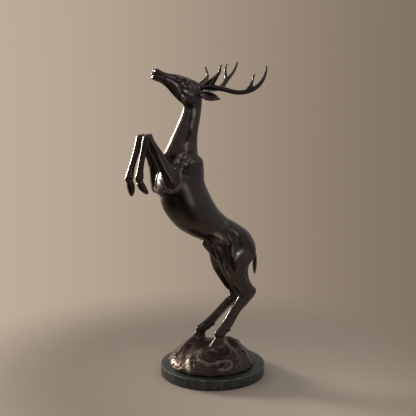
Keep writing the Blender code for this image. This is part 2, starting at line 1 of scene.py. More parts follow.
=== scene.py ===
"""The finish of a rearing stag, cast in bronze with the rock under its hooves, on a round marble slab.

The stag faces -X and its left side faces -Y. The casting's own sizes are in millimetres above the slab,
on a casting 572.5 mm high, and are fitted to the frame's node. All other sizes are in metres.
"""

import math

import bmesh
import bpy
import numpy as np
from bpy.props import FloatProperty, FloatVectorProperty, IntProperty, PointerProperty
from mathutils import Matrix, Vector


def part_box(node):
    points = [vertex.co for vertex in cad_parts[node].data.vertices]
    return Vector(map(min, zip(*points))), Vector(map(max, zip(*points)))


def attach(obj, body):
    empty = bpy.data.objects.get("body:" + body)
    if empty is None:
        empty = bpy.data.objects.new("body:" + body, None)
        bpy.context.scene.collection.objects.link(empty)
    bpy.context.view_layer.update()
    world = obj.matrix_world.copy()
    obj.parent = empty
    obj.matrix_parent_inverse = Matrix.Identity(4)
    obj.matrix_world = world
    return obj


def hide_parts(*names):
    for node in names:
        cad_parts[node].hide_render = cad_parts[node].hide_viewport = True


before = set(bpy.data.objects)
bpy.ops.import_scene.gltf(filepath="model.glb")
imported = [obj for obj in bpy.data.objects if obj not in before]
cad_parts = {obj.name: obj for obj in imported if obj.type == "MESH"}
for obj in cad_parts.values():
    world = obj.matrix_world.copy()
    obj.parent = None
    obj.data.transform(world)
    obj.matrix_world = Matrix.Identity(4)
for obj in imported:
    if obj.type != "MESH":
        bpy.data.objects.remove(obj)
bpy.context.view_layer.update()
CAST_LOW, CAST_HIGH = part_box("stag_on_rock")
SLAB_LOW, SLAB_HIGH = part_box("marble_base")

bl_info = {
    "name": "Bronze Stag",
    "version": (1, 0, 0),
    "blender": (4, 5, 0),
    "location": "3D View > Sidebar > Stag",
    "description": "Casts a rearing stag on its rock, turns its marble slab and sets the stage",
    "category": "Object",
}

MM = 0.001

# The rock's sizes, in the casting's millimetres.
ROCK_RADIUS = 83.5
ROCK_CENTRE = (-2.5, 1.2)
ROCK_LIP = 3.0

# Rounds of crease filling, and of smoothing to find ridges and hollows, on a 1 mm grid.
FILL_ROUNDS = 45
WEAR_ROUNDS = 9

# Points around each kind of section, and rings between two stations.
ROCK_SIDES = 240
TRUNK_SIDES = 72
LIMB_SIDES = 48
TINE_SIDES = 24
RINGS_PER_STEP = 8

NEAR, FAR = -1, 1

# Where a mark is cut: pairs of the body's side and the way that the surface faces. No pair means all round.
BOTH = ((NEAR, NEAR), (FAR, FAR))
NEAR_SIDE = ((NEAR, NEAR),)
FAR_SIDE = ((FAR, FAR),)
FAR_INNER = ((FAR, NEAR),)
NEAR_LEG = ((NEAR, NEAR), (NEAR, FAR))
FAR_LEG = ((FAR, FAR), (FAR, NEAR))
ALL_ROUND = ()


def srgb(code):
    """A hex colour, as painted, turned to the linear values that shaders take."""
    parts = [int(code[i : i + 2], 16) / 255 for i in (1, 3, 5)]
    return tuple(p / 12.92 if p <= 0.04045 else ((p + 0.055) / 1.055) ** 2.4 for p in parts)


def seen(code):
    return (*srgb(code), 1.0)


# Building shapes from sections.


def whole_circle(count):
    return np.arange(count) * 2 * math.pi / count


def smooth_rows(rows, steps=RINGS_PER_STEP):
    """Rows on a smooth curve through the given ones, so that few stations make a flowing run."""
    rows = np.asarray(rows, float)
    padded = np.vstack([2 * rows[0] - rows[1], rows, 2 * rows[-1] - rows[-2]])
    made = []
    for i in range(1, len(padded) - 2):
        a, b, c, d = padded[i - 1 : i + 3]
        for t in np.arange(steps) / steps:
            bend, twist = 2 * a - 5 * b + 4 * c - d, 3 * b - a - 3 * c + d
            made.append(0.5 * (2 * b + (c - a) * t + bend * t**2 + twist * t**3))
    made.append(rows[-1])
    return np.array(made)


def skin_rings(bm, rings):
    """Closes a run of rings, each of the same count of points, into one body."""
    loops = [[bm.verts.new(p) for p in ring] for ring in rings]
    count = len(loops[0])
    for low, high in zip(loops, loops[1:]):
        for i in range(count):
            j = (i + 1) % count
            bm.faces.new((low[i], low[j], high[j], high[i]))
    for loop, step in ((loops[0], -1), (loops[-1], 1)):
        bm.faces.new(loop[::step])


def body(bm, stations, sides=TRUNK_SIDES, side=0, flutes=()):
    """A run of egg-shaped sections between two outlines of the profile.

    A station is (edge a's x, z, edge b's x, z, sideways centre, half width, bias), and the bias is left out
    where it is 0. Above 0 it puts the widest place nearer to edge a. The sideways centre is taken to the
    given side, NEAR or FAR, or left out on the middle plane. A flute is a groove along the run, cut on both
    flanks: (degrees from edge a, share of the section, width in degrees).
    """
    turns = whole_circle(sides)
    reach = np.ones(sides)
    for turn, depth, spread in flutes:
        for sign in (-1, 1):
            off = np.abs((np.degrees(turns) - sign * turn + 180) % 360 - 180)
            reach -= depth * np.exp(-((off / spread) ** 2)) / (2 if turn in (0, 180) else 1)
    rings = []
    for ax, az, bx, bz, centre, width, bias in smooth_rows([(*row, 0)[:7] for row in stations]):
        middle = np.array([(ax + bx) / 2, 0, (az + bz) / 2])
        half = np.array([(ax - bx) / 2, 0, (az - bz) / 2])
        ring = middle + np.outer(np.cos(turns) * reach, half)
        ring[:, 1] += width * np.sin(turns) * reach * (1 + bias * np.cos(turns)) + side * centre
        rings.append(ring)
    skin_rings(bm, rings)


def round_run(stations):
    """Rows (x, y, z, radius) along a round run, with two directions across each that don't twist."""
    rows = smooth_rows(stations)
    first, second = [], []
    normal = None
    for i in range(len(rows)):
        ahead = Vector(rows[min(i + 1, len(rows) - 1)][:3] - rows[max(i - 1, 0)][:3]).normalized()
        if normal is None:
            normal = ahead.orthogonal().normalized()
        normal = (normal - ahead * normal.dot(ahead)).normalized()
        first.append(normal)
        second.append(ahead.cross(normal))
    return rows, np.array(first), np.array(second)


def tube(bm, stations, sides=TINE_SIDES):
    """A round run along (x, y, z, radius) stations."""
    turns = whole_circle(sides)
    rings = []
    for row, first, second in zip(*round_run(stations)):
        rings.append(row[:3] + row[3] * (np.outer(np.cos(turns), first) + np.outer(np.sin(turns), second)))
    skin_rings(bm, rings)


def mass(bm, centre, radii, lean=0.0, swing=0.0):
    """An ellipsoid for a muscle. lean tips it in the profile and swing turns it about Z, in degrees."""
    place = (
        Matrix.Translation(centre)
        @ Matrix.Rotation(math.radians(swing), 4, "Z")
        @ Matrix.Rotation(math.radians(lean), 4, "Y")
        @ Matrix.Diagonal((*radii, 1))
    )
    bmesh.ops.create_uvsphere(bm, u_segments=40, v_segments=24, radius=1, matrix=place)


def nearest_on(spots, line):
    """How far each point is from a line, and how far along the line that is from its nearer end."""
    best = np.full(len(spots), np.inf)
    run = np.zeros(len(spots))
    passed = 0
    for start, end in zip(line, line[1:]):
        start, along = np.array(start, float), np.subtract(end, start).astype(float)
        length = np.linalg.norm(along)
        share = np.clip((spots - start) @ along / length**2, 0, 1)
        gap = np.sqrt(((spots - start - np.outer(share, along)) ** 2).sum(axis=1))
        run = np.where(gap < best, passed + share * length, run)
        best = np.minimum(best, gap)
        passed += length
    return best, np.minimum(run, passed - run)


def distance_to(spots, line):
    return nearest_on(spots, line)[0]


# The stag and its rock, in millimetres above the slab.

# The profile's stations: (edge a's x, z, edge b's x, z, sideways centre, half width, bias if any).
TRUNK = [
    (-36, 412, -86, 404, 0, 20), (-24, 396, -92, 384, 0, 27), (-20.5, 379, -99, 361, 0, 30, -0.05),
    (-19.5, 358, -105, 334, 0, 31.5, -0.08), (-12, 338, -100, 311, 0, 32, -0.08),
    (-2, 319, -88, 291, 0, 31.5, -0.06), (11, 300, -70, 271, 0, 30), (28, 284, -46, 255, 0, 28, 0.05),
    (50, 270.5, -18, 240, 0, 27.5, 0.1), (71, 255, 8, 213, 0, 27, 0.1), (83, 239, 30, 196, 0, 25, 0.1),
    (89, 221, 48, 190, 0, 20, 0.1), (88, 205, 62, 190, 0, 11),
]
NECK = [
    (-32, 396, -86, 392, 0, 24), (-33, 412, -97, 409, 0, 23, 0.1), (-33, 433, -88, 430, 0, 19),
    (-31, 452, -77, 452, 0, 16.5), (-27.5, 470, -68, 470, 0, 14.5), (-24.5, 488, -60.5, 487, 0, 13),
    (-23, 506, -58, 500, 0, 13), (-22, 520, -54, 508, 0, 13), (-26, 530, -46, 514, 0, 11),
]
HEAD = [
    (-22, 524, -34, 506, 0, 9), (-26, 534, -46, 500, 0, 12.5, 0.1), (-36, 541, -57, 498, 0, 14, 0.1),
    (-48, 545.5, -65, 503, 0, 13.5, 0.2), (-60, 550, -74, 511, 0, 13.5, 0.3),
    (-71, 553, -82, 519, 0, 11.5, 0.2), (-84, 554.5, -90, 528, 0, 9.3, 0.1), (-96, 557.5, -98, 535, 0, 7.8),
    (-104, 561.5, -107, 540, 0, 8.2), (-110, 564, -113, 542, 0, 8.6), (-116, 560.5, -118, 544.5, 0, 7.6),
    (-120.5, 556, -120.5, 548, 0, 4.6),
]
TAIL = [
    (84, 216, 80, 208, 0, 4), (92, 208, 86, 203, 0, 5), (93.5, 197, 86.5, 195, 0, 5.2),
    (94, 186, 85.5, 185, 0, 5), (93, 175, 86.5, 175, 0, 3.8), (91, 166, 88.6, 166, 0, 1.6),
]
# Each foreleg: the upper arm, the forearm folded up from the elbow, the cannon below the knee, the hoof.
NEAR_FORELEG = [
    [
        (-64, 396, -80, 392, 14, 6), (-68, 388, -88, 385, 22, 9), (-73.5, 374, -93, 371, 27, 9.5),
        (-75, 361, -97, 360, 27.5, 9.2), (-80, 350, -100, 351, 27.5, 8.6),
        (-88, 344.5, -99, 345.5, 27.5, 6),
    ],
    [
        (-80, 350, -92, 342.5, 27.5, 5.5), (-78, 361, -101, 344.5, 27.5, 9), (-84, 373, -108, 357, 27, 9.5),
        (-93, 391, -115, 379, 25.5, 8.5), (-105, 409, -124, 400, 24, 7.5),
        (-118.5, 428, -134, 420, 24, 6.5), (-127, 441, -141.5, 435, 24, 6.6),
        (-130, 450, -146, 444, 24, 6.2),
    ],
    [
        (-132, 451.5, -144, 450, 24, 4.6), (-130.5, 449, -147, 446, 24, 6.4),
        (-133, 441, -148.5, 440, 24, 6.6), (-136, 431, -150, 432, 24, 6.2), (-140, 421, -152, 422, 24, 5.2),
        (-144.5, 405, -155.2, 406, 24, 4.8), (-147.3, 388, -158.8, 389, 24, 4.9),
        (-147, 377, -162, 377.5, 24, 5.6), (-147.5, 371, -163, 371, 24, 5.6),
        (-150.3, 366.5, -160, 366, 24, 4.8),
    ],
    [
        (-150, 374, -160, 369, 24, 4.6), (-149, 369, -161, 364, 24, 5.4), (-145.2, 363, -158, 356.5, 24, 6),
        (-141, 355, -152, 348.5, 24, 6.2), (-138.5, 348, -145.5, 344, 24, 4.8),
        (-138.8, 344.5, -141.5, 343, 24, 2.2),
    ],
]
FAR_FORELEG = [
    [
        (-62, 408, -86, 400, 20, 8), (-72, 390, -98, 384, 25, 10), (-78, 370, -104, 366, 27, 9.5),
        (-83, 354, -107, 352, 27.5, 9.2), (-90, 343, -108, 343, 27.5, 8.6),
        (-97, 337.5, -106, 338, 27.5, 6),
    ],
    [
        (-88, 343, -100, 335, 27.5, 5.5), (-85, 354, -109, 338, 27.5, 9), (-89, 368, -114.5, 354, 27, 9.5),
        (-94, 386, -117, 376, 25.5, 8.5), (-103, 404, -121.5, 396, 24, 7.5),
        (-114, 423, -129.5, 416, 24, 6.5), (-121.5, 436, -136.5, 430, 24, 6.6),
        (-125, 445, -141, 439, 24, 6.2),
    ],
    [
        (-127, 446.5, -139, 445, 24, 4.6), (-125.5, 444.5, -142, 441.5, 24, 6.4),
        (-128, 436, -143.5, 435, 24, 6.6), (-131, 426, -145.5, 427, 24, 6.2),
        (-135, 416, -148, 417, 24, 5.2), (-140.5, 402, -151.8, 404, 24, 4.8),
        (-146, 384, -158, 386, 24, 4.9), (-148, 371, -163, 372, 24, 5.6), (-148.8, 365, -165, 364, 24, 5.6),
        (-151.5, 361, -162, 360, 24, 4.8),
    ],
    [
        (-150.5, 366, -162, 364, 24, 4.8), (-149, 361, -162.5, 360, 24, 5.4),
        (-146.4, 352, -162, 351, 24, 6.4), (-146.8, 343, -159.5, 342, 24, 6.4),
        (-149.5, 336, -156.5, 335.5, 24, 4.6), (-152, 333, -154.5, 332.8, 24, 2.2),
    ],
]
# Each hind leg: thigh and gaskin to the hock, the cannon, and the pastern and hoof down into the rock.
NEAR_HIND_LEG = [
    [
        (79, 240, 4, 256, 10, 13), (84, 219, -4, 229, 14, 15), (79, 205, 2, 208, 17.5, 16, 0.05),
        (67.5, 192, 6.5, 193, 20, 14, 0.05), (63.5, 181, 12.5, 178, 22, 11.5), (64.5, 167, 24, 160, 24, 9),
        (70, 154.5, 34.5, 148, 25, 7.8), (77, 145, 40, 142, 25, 7.4), (79, 136, 48, 138, 25, 5.5),
    ],
    [
        (68, 155, 40, 150, 25, 5.5), (79.8, 142, 40.8, 142, 25, 7.8), (73.5, 128, 43, 134, 25, 7.2),
        (53.5, 110, 36, 122.5, 25, 6.2), (41, 95.5, 24.5, 108, 25, 5.8), (26.5, 73, 9.8, 86.5, 25, 6),
        (17.5, 63, -5.5, 70, 25, 7), (13, 57.5, -9, 64, 25, 7),
    ],
    [
        (14, 60, -7, 66, 25, 6), (11, 54, -7.5, 57, 25, 6.2), (13, 45, -13, 49, 25, 8),
        (17, 32, -20, 36, 25, 11),
    ],
]
FAR_HIND_LEG = [
    [
        (79, 240, 4, 256, 10, 13), (84, 217, -5, 229, 14, 15), (81, 201, 1.5, 208, 17.5, 16, 0.05),
        (71, 186, 6.5, 191, 20, 14, 0.05), (67, 172, 13.5, 176, 22, 11.5), (69, 155, 26, 157, 24, 9),
        (76, 138, 38, 140, 25, 7.8), (82, 128, 45, 133, 25, 7.4), (84, 119, 54, 127, 25, 5.5),
    ],
    [
        (74, 138, 43, 140, 25, 5.5), (85, 124, 47, 132, 25, 7.8), (75, 110, 47.5, 122, 25, 7.2),
        (49, 97.5, 36, 113, 25, 6.2), (25, 77, 12.4, 92, 25, 5.8), (6.5, 60.5, -8, 76, 25, 6),
        (-1, 57, -22, 68, 25, 7), (-4, 54, -25, 63, 25, 7),
    ],
    [
        (-3, 56, -24, 65, 25, 6), (-5, 50, -25.5, 57, 25, 6.2), (-4, 41, -36, 46, 25, 8),
        (-4, 30, -50, 34, 25, 11),
    ],
]
# Along an ear: (share of its length, half breadth, half thickness, how far it is cupped).
EAR = [
    (0, 3.4, 3.6, 0), (0.14, 5.2, 3.2, 1.4), (0.3, 7.8, 2.3, 4.6), (0.5, 8.9, 1.7, 5.6),
    (0.7, 7.2, 1.4, 4.2), (0.87, 3.8, 1.2, 1.6), (1, 0.5, 0.6, 0),
]
# Each antler: the beam, the brow tine, the stay between them and the tine at the fork.
NEAR_ANTLER = [
    [
        (-30, -6, 529, 5.6), (-20, -12, 529.7, 5.2), (-11.4, -20, 529.3, 5), (-3.2, -28, 528.2, 4.8),
        (7, -36, 525.8, 4.5), (17, -44, 522.5, 4.4), (27.6, -51, 520.9, 4.4), (38.6, -57, 522.3, 4.4),
        (48.6, -61, 526, 4.4), (59, -64, 532.5, 3.9), (67.3, -65.5, 542.2, 3.3), (73, -65, 552.8, 2.7),
        (75.8, -64, 562.5, 2.1), (76.9, -63, 568.4, 1.4),
    ],
    [
        (-26, -9, 531, 3.6), (-17.6, -14, 538.5, 3.3), (-10.4, -20, 544.2, 3.3), (-4.3, -26, 550.7, 3.5),
        (-0.7, -30, 558.1, 2.6), (-0.9, -32, 564.4, 2), (2, -33, 570.2, 1.3),
    ],
    [(-14, -18.5, 529, 4.4), (-11, -21, 536, 3.6), (-7.5, -24, 543, 3.4), (-4.5, -27, 550, 3)],
    [
        (42, -57, 525, 4.4), (46, -59.5, 532, 3.7), (49, -60.5, 540, 2.4), (51.2, -61, 548.2, 1.8),
        (54.4, -61, 553.8, 1.2),
    ],
]
FAR_ANTLER = [
    [
        (-30, 6, 529, 5.6), (-20, 11, 530, 5.2), (-11, 17, 527.5, 4.9), (2, 25, 524.7, 4.6),
        (19, 36, 522.8, 4.4), (35, 46, 524.4, 4.5), (47.5, 54, 530.4, 4.5), (57, 59, 538.6, 4.2),
        (66.5, 62, 546.7, 3.2), (74.4, 64, 555.2, 2.8), (78.8, 64, 563.7, 2.2), (81.8, 63, 572.6, 1.4),
    ],
    [
        (-25, 8.5, 532, 3.6), (-17, 11, 537, 3.2), (-9.7, 16, 541, 3.2), (-1.9, 22, 544.7, 3.1),
        (1.6, 27, 549, 2.7), (1.1, 30, 556.3, 2), (-1.2, 32, 565.5, 1.3),
    ],
    [(-9, 18, 528, 4.4), (-6, 19.5, 535, 3.9), (-2.5, 22, 543, 3.2)],
    [
        (47, 54, 528, 4.4), (53, 57.5, 537, 3.7), (54.8, 59, 545, 2.8), (54.3, 60, 553.7, 2.4),
        (54.8, 60, 561.3, 1.8), (57.8, 60, 569.4, 1.2),
    ],
]


def add_trunk(bm):
    body(bm, TRUNK)
    # The breast between the folded forelegs, and the shoulder blades' rounded tops at the withers.
    mass(bm, (-98, 9, 364), (12, 32, 30), lean=14)
    for side in (NEAR, FAR):
        mass(bm, (-54, side * 15, 391), (27, 14, 19), lean=-4)
        mass(bm, (-66, side * 14.5, 396), (19, 12, 21), lean=30)


def add_neck(bm):
    body(bm, NECK, LIMB_SIDES)


def add_head(bm):
    body(bm, HEAD, LIMB_SIDES)
    for side in (NEAR, FAR):
        mass(bm, (-52, side * 8.5, 515), (14, 6.5, 12), lean=-30)
        mass(bm, (-66, side * 8.8, 545.5), (10, 4.6, 3.4), lean=14)
        mass(bm, (-61.5, side * 10.8, 536.5), (5, 4, 4.6))
        mass(bm, (-112, side * 5.5, 559), (5, 3.2, 4.6), lean=20)


def add_ears(bm):
    turns = whole_circle(LIMB_SIDES)
    for side in (NEAR, FAR):
        root = Vector((-38, side * 13, 519.5))
        tip = Vector((-3, side * 39, 509))
        along = (tip - root).normalized()
        broad = Vector((0.25, 0, 1))
        broad = (broad - along * broad.dot(along)).normalized()
        front = along.cross(broad) * -side
        rings = []
        for share, half, thick, cup in smooth_rows(EAR):
            rings.append(
                np.array(root + (tip - root) * share)
                + np.outer(np.cos(turns) * half, broad)
                + np.outer(np.sin(turns) * thick - np.sin(turns) ** 2 * cup, front)
            )
        skin_rings(bm, rings)


def add_antlers(bm):
    for run in NEAR_ANTLER + FAR_ANTLER:
        tube(bm, run)
    # The web that fills the near side's fork, the flat palms between beam and brow tine, and the burrs.
    beam, brow_tine = (smooth_rows(run[:4])[6:20:3] for run in NEAR_ANTLER[:2])
    for low, high in zip(beam, brow_tine):
        middle = (low + high) / 2
        tube(bm, [(*low[:3], 2.8), (*middle[:3], 2.4), (*high[:3], 2.8)])
    for side in (NEAR, FAR):
        mass(bm, (-14, side * 16.5, 535), (9, 2.8, 6.5), lean=-20, swing=side * 38)
        mass(bm, (-26, side * 8.5, 530), (5, 6, 6.6), lean=10)


def add_forelegs(bm):
    flutes = [(), ((118, 0.16, 16),), ((52, 0.2, 13), (112, 0.1, 12)), ((0, 0.45, 14), (180, 0.45, 14))]
    for side, leg in ((NEAR, NEAR_FORELEG), (FAR, FAR_FORELEG)):
        for run, grooves in zip(leg, flutes):
            body(bm, run, LIMB_SIDES, side, grooves)


def add_hind_legs(bm):
    claws = {NEAR: (20.5, 70.5), FAR: (11, 69)}
    flutes = [(), ((48, 0.22, 13), (100, 0.14, 12)), ()]
    for side, leg in ((NEAR, NEAR_HIND_LEG), (FAR, FAR_HIND_LEG)):
        for run, grooves in zip(leg, flutes):
            body(bm, run, LIMB_SIDES, side, grooves)
        x, z = claws[side]
        for across in (-3.8, 3.8):
            mass(bm, (x - 0.8, side * 25 + across, z + 0.4), (5.2, 2.6, 3.6), lean=40)
        mass(bm, (50, side * 15, 232), (28, 12.5, 22), lean=35)


def add_tail(bm):
    body(bm, TAIL, LIMB_SIDES)


def add_sheath(bm):
    run = [(20, 0, 196, 4.5), (8, 0, 206, 4.8), (-6, 0, 222, 4.6), (-16, 0, 233, 3.8), (-22, 0, 239, 1.8)]
    tube(bm, run, LIMB_SIDES)


# Broad folds of the rock, drawn on its plan: (height, width, points).
ROCK_FOLDS = [
    (2.2, 6, [(-42, 16), (-58, 12), (-70, 11), (-80, 13)]),
    (1.2, 6, [(-36, -2), (-48, -14), (-57, -28)]),
    (2.4, 6, [(-58, -24), (-67, -38), (-71, -52)]),
    (1.6, 4.2, [(-50, -48), (-42, -56), (-30, -65), (-16, -65), (-4, -67), (4, -72)]),
    (1.8, 4, [(3, -69), (4, -75), (-6, -79), (-20, -77), (-34, -70)]),
    (2.4, 4.6, [(28, 3), (23, -20), (22, -44), (22, -70)]),
    (2.2, 4.6, [(47, 0), (53, -20), (52, -40), (48, -60)]),
    (1.6, 4.4, [(8, -32), (15, -34), (12, -52)]),
    (-2.2, 4.6, [(36, -2), (38, -22), (37, -44)]),
    (1.4, 5, [(-30, -41), (-18, -34), (-12, -44)]),
    (1.6, 5, [(-20, 2), (-27, -18), (-40, -36)]),
    (2, 4.5, [(-18, 66), (10, 62), (34, 54)]),
    (2.2, 4, [(60, 12), (52, 36), (30, 66)]),
    (-2, 4.5, [(-40, 52), (-20, 46), (4, 48), (30, 34)]),
    (1.8, 4, [(-66, 34), (-48, 52), (-34, 66)]),
]


def rock_height(x, y):
    """The rock's top over (x, y): a dome with a ridge under each foot, a hump behind them and folds."""
    reach = np.hypot(x - ROCK_CENTRE[0], y - ROCK_CENTRE[1]) / ROCK_RADIUS
    dome = 38 * np.clip(1 - reach**1.7, 0, 1) ** 0.62

    def swell(cx, cy, along, across, turn, height):
        c, s = math.cos(math.radians(turn)), math.sin(math.radians(turn))
        u, v = (x - cx) * c + (y - cy) * s, -(x - cx) * s + (y - cy) * c
        return height * np.exp(-((u / along) ** 2) - (v / across) ** 2)

    relief = (
        swell(-36, 24, 30, 14, 12, 13)
        + swell(2, -24, 18, 12, -60, 11)
        + swell(46, 16, 22, 24, 20, 9)
        - swell(-12, -2, 26, 7, 20, 5)
        - swell(26, 0, 10, 26, 35, 4)
        + swell(-40, -40, 22, 14, 50, 6)
        + swell(8, -58, 26, 12, 0, 5)
    )
    spots = np.stack([x, y], 1)
    for height, width, line in ROCK_FOLDS:
        relief = relief + height * np.exp(-((distance_to(spots, line) / width) ** 2))
    return dome + relief * np.clip(1.2 - reach, 0, 0.25) * 4


def add_rock(bm):
    turns = whole_circle(ROCK_SIDES)
    centre = np.array([*ROCK_CENTRE, 0])
    rim = ROCK_RADIUS * np.stack([np.cos(turns), np.sin(turns), np.zeros(ROCK_SIDES)], 1)
    rings = [centre + rim * 0.975, centre + rim * 0.985, centre + rim + np.array([0, 0, ROCK_LIP])]
    rings[1][:, 2] += 0.6
    for share in np.linspace(1, 0.02, 100)[1:]:
        ring = centre + rim * share
        ring[:, 2] = ROCK_LIP + rock_height(ring[:, 0], ring[:, 1])
        rings.append(ring)
    skin_rings(bm, rings)


# Turning the overlapping shapes into one cast skin.


def neighbour_table(mesh):
    """Each vertex's neighbours, padded with the vertex itself, and how many it really has."""
    count = len(mesh.vertices)
    edges = np.empty(len(mesh.edges) * 2, dtype=np.int32)
    mesh.edges.foreach_get("vertices", edges)
    edges = edges.reshape(-1, 2)
    both = np.vstack([edges, edges[:, ::-1]])
    both = both[np.argsort(both[:, 0], kind="stable")]
    degree = np.bincount(both[:, 0], minlength=count)
    starts = np.concatenate([[0], np.cumsum(degree)[:-1]])
    table = np.tile(np.arange(count)[:, None], (1, degree.max()))
    table[both[:, 0], np.arange(len(both)) - starts[both[:, 0]]] = both[:, 1]
    return table, degree


def read_places(mesh):
    places = np.empty(len(mesh.vertices) * 3)
    mesh.vertices.foreach_get("co", places)
    return places.reshape(-1, 3)


def write_places(mesh, places):
    mesh.vertices.foreach_set("co", places.ravel())
    mesh.update()


def read_normals(mesh):
    normals = np.empty(len(mesh.vertices) * 3, dtype=np.float32)
    mesh.vertex_normals.foreach_get("vector", normals)
    return normals.reshape(-1, 3).astype(float)


def pull_of(places, table, degree):
    """The way from each vertex to the middle of its neighbours."""
    spare = (table.shape[1] - degree)[:, None]
    total = -spare * places
    for column in table.T:
        total += places[column]
    return total / degree[:, None] - places


def zones(places):
    """Which vertices belong to each fine part of the figure."""
    x, y, z = places.T
    return {
        "head": (z > 500) & (x < -36),
        "antlers": (z > 515) & (x > -24),
        "forelegs": (z < 470) & (x < -112),
        "shanks": (z > 60) & (z < 160),
        "tail": (x > 84) & (z > 150) & (z < 205),
        "ears": (np.abs(y) > 14.5) & (z > 495) & (x < 2),
    }


# How far creases are filled on the fine parts, where 1 is as far as on the body.
SOFTNESS = {"head": 0.3, "antlers": 0.35, "forelegs": 0.3, "shanks": 0.3, "tail": 0.15, "ears": 0.08}


def fill_creases(mesh, rounds):
    """Fills the creases where shapes meet, as clay would be, and leaves the rounded parts as they are."""
    table, degree = neighbour_table(mesh)
    places = read_places(mesh)
    soft = np.ones((len(places), 1))
    for name, zone in zones(places).items():
        soft[zone] = SOFTNESS[name]
    for step in range(rounds):
        if step % 6 == 0:
            write_places(mesh, places)
            normals = read_normals(mesh)
        pull = pull_of(places, table, degree)
        rise = (pull * normals).sum(axis=1, keepdims=True)
        places = places + 0.9 * soft * np.clip(rise, 0, None) * normals + 0.3 * (pull - rise * normals)
    for factor in (0.5, -0.52) * 6:
        places = places + factor * pull_of(places, table, degree)
    write_places(mesh, places)


# Modelling the surface: strokes of a tool, thumbed swells, rings round a limb and the hand's unevenness.

ARM_FOLD = [(-81.5, 403), (-81.5, 392), (-81, 381), (-81, 361.5), (-89, 351), (-98.5, 348), (-106, 354)]
ARM_EDGE = [
    (-115, 369), (-110, 356), (-104.5, 346.5), (-96.5, 342.5), (-87, 345.5), (-79, 354), (-75, 364.5),
    (-76, 376),
]
ARM_HOLLOW = [(-89, 384), (-90, 372), (-94, 362)]


def shifted(line, dx, dz):
    return [(x + dx, z + dz) for x, z in line]


# Strokes on the profile: (height, width, points, where). Without a where, a stroke is cut on both flanks.
NECK_STROKES = [
    (-1.8, 4.4, [(-50, 498), (-48.6, 480), (-50.2, 468), (-51.8, 457.5), (-55.2, 446.5), (-60.2, 434.5),
        (-66, 422)]),
    (-1, 2, [(-49, 474), (-51.8, 457.5), (-55.2, 446.5), (-58, 439), (-61, 432), (-65, 425)]),
    (2.2, 3, [(-44, 494), (-45.8, 482), (-46.2, 471), (-48, 459), (-51.5, 446)]),
    (2, 2.8, [(-60, 434), (-62.9, 425.5), (-63.2, 418.5), (-66, 409)]),
    (0.6, 5, [(-60, 482), (-64.5, 458), (-70.5, 440), (-76.5, 422)]),
    (0.6, 5, [(-36, 495), (-38, 470), (-41, 445), (-44, 422)]),
    (-1.6, 4.4, [(-66, 503), (-58.7, 497), (-53.5, 493.5), (-46, 491)]),
    (0.9, 1.6, [(-78, 406), (-72, 411), (-66, 412), (-59, 411)]),
]
SHOULDER_STROKES = [
    (-1.5, 2.8, [(-78, 409), (-70, 411.5), (-58, 413.5), (-46, 412)]),
    (-1.2, 3.6, [(-85, 396), (-80, 386), (-71, 377), (-63, 373), (-51, 372.5), (-34, 377)]),
    (2, 2.8, [(-78, 407), (-80.5, 399), (-80, 391)]),
    (-2.6, 2.6, [(-73, 387.5), (-67, 385.5), (-63, 390)]),
    (-1.6, 2.4, [(-73, 383), (-68, 379), (-65, 386)]),
    (1.7, 1.6, [(-74.5, 396.5), (-70, 394), (-66.4, 391.5), (-63.5, 394), (-59, 398)]),
    (-0.6, 2.2, [(-62, 400), (-48, 404), (-35, 401)]),
    (0.5, 2.2, [(-63, 393), (-50, 397), (-34, 396)]),
    (-0.6, 2.4, [(-62, 385), (-48.5, 387), (-32, 386.5)]),
    (1.8, 6, [(-72, 360), (-66, 344), (-60, 330), (-53, 310)]),
    (-1.2, 8, [(-90, 350), (-84, 330), (-72, 310)]),
]
ARM_STROKES = [
    (1.2, 2, ARM_FOLD, NEAR_SIDE),
    (1.2, 1.9, ARM_EDGE, NEAR_SIDE),
    (-1.4, 3.8, ARM_HOLLOW, NEAR_SIDE),
    (-1, 1.7, shifted(ARM_EDGE, 1.5, 3.8), NEAR_SIDE),
    (1.2, 2, shifted(ARM_FOLD, -10, -6), FAR_SIDE),
    (1.2, 1.9, shifted(ARM_EDGE, -10, -6), FAR_SIDE),
    (-1.4, 3.8, shifted(ARM_HOLLOW, -10, -6), FAR_SIDE),
    (1, 1.8, [(-137, 443), (-127.5, 426.5), (-118.5, 406.5), (-109, 386.5), (-97.5, 365.5)], NEAR_SIDE),
    (-0.8, 2, [(-133, 443), (-123.5, 426.5), (-114.5, 408), (-104.5, 388)], NEAR_SIDE),
    (1, 1.8, [(-131, 438), (-123, 421), (-117, 401), (-111, 381)], FAR_SIDE),
    (1.2, 1.8, [(-115.5, 392), (-115, 366), (-110.5, 347), (-102.5, 335.5)], FAR_INNER),
    (1.2, 1.8, [(-121, 398), (-125, 377), (-121, 356), (-115.5, 341)], FAR_INNER),
    (-1.1, 1.7, [(-118, 396), (-120.5, 376), (-117.5, 357), (-112, 342)], FAR_INNER),
]
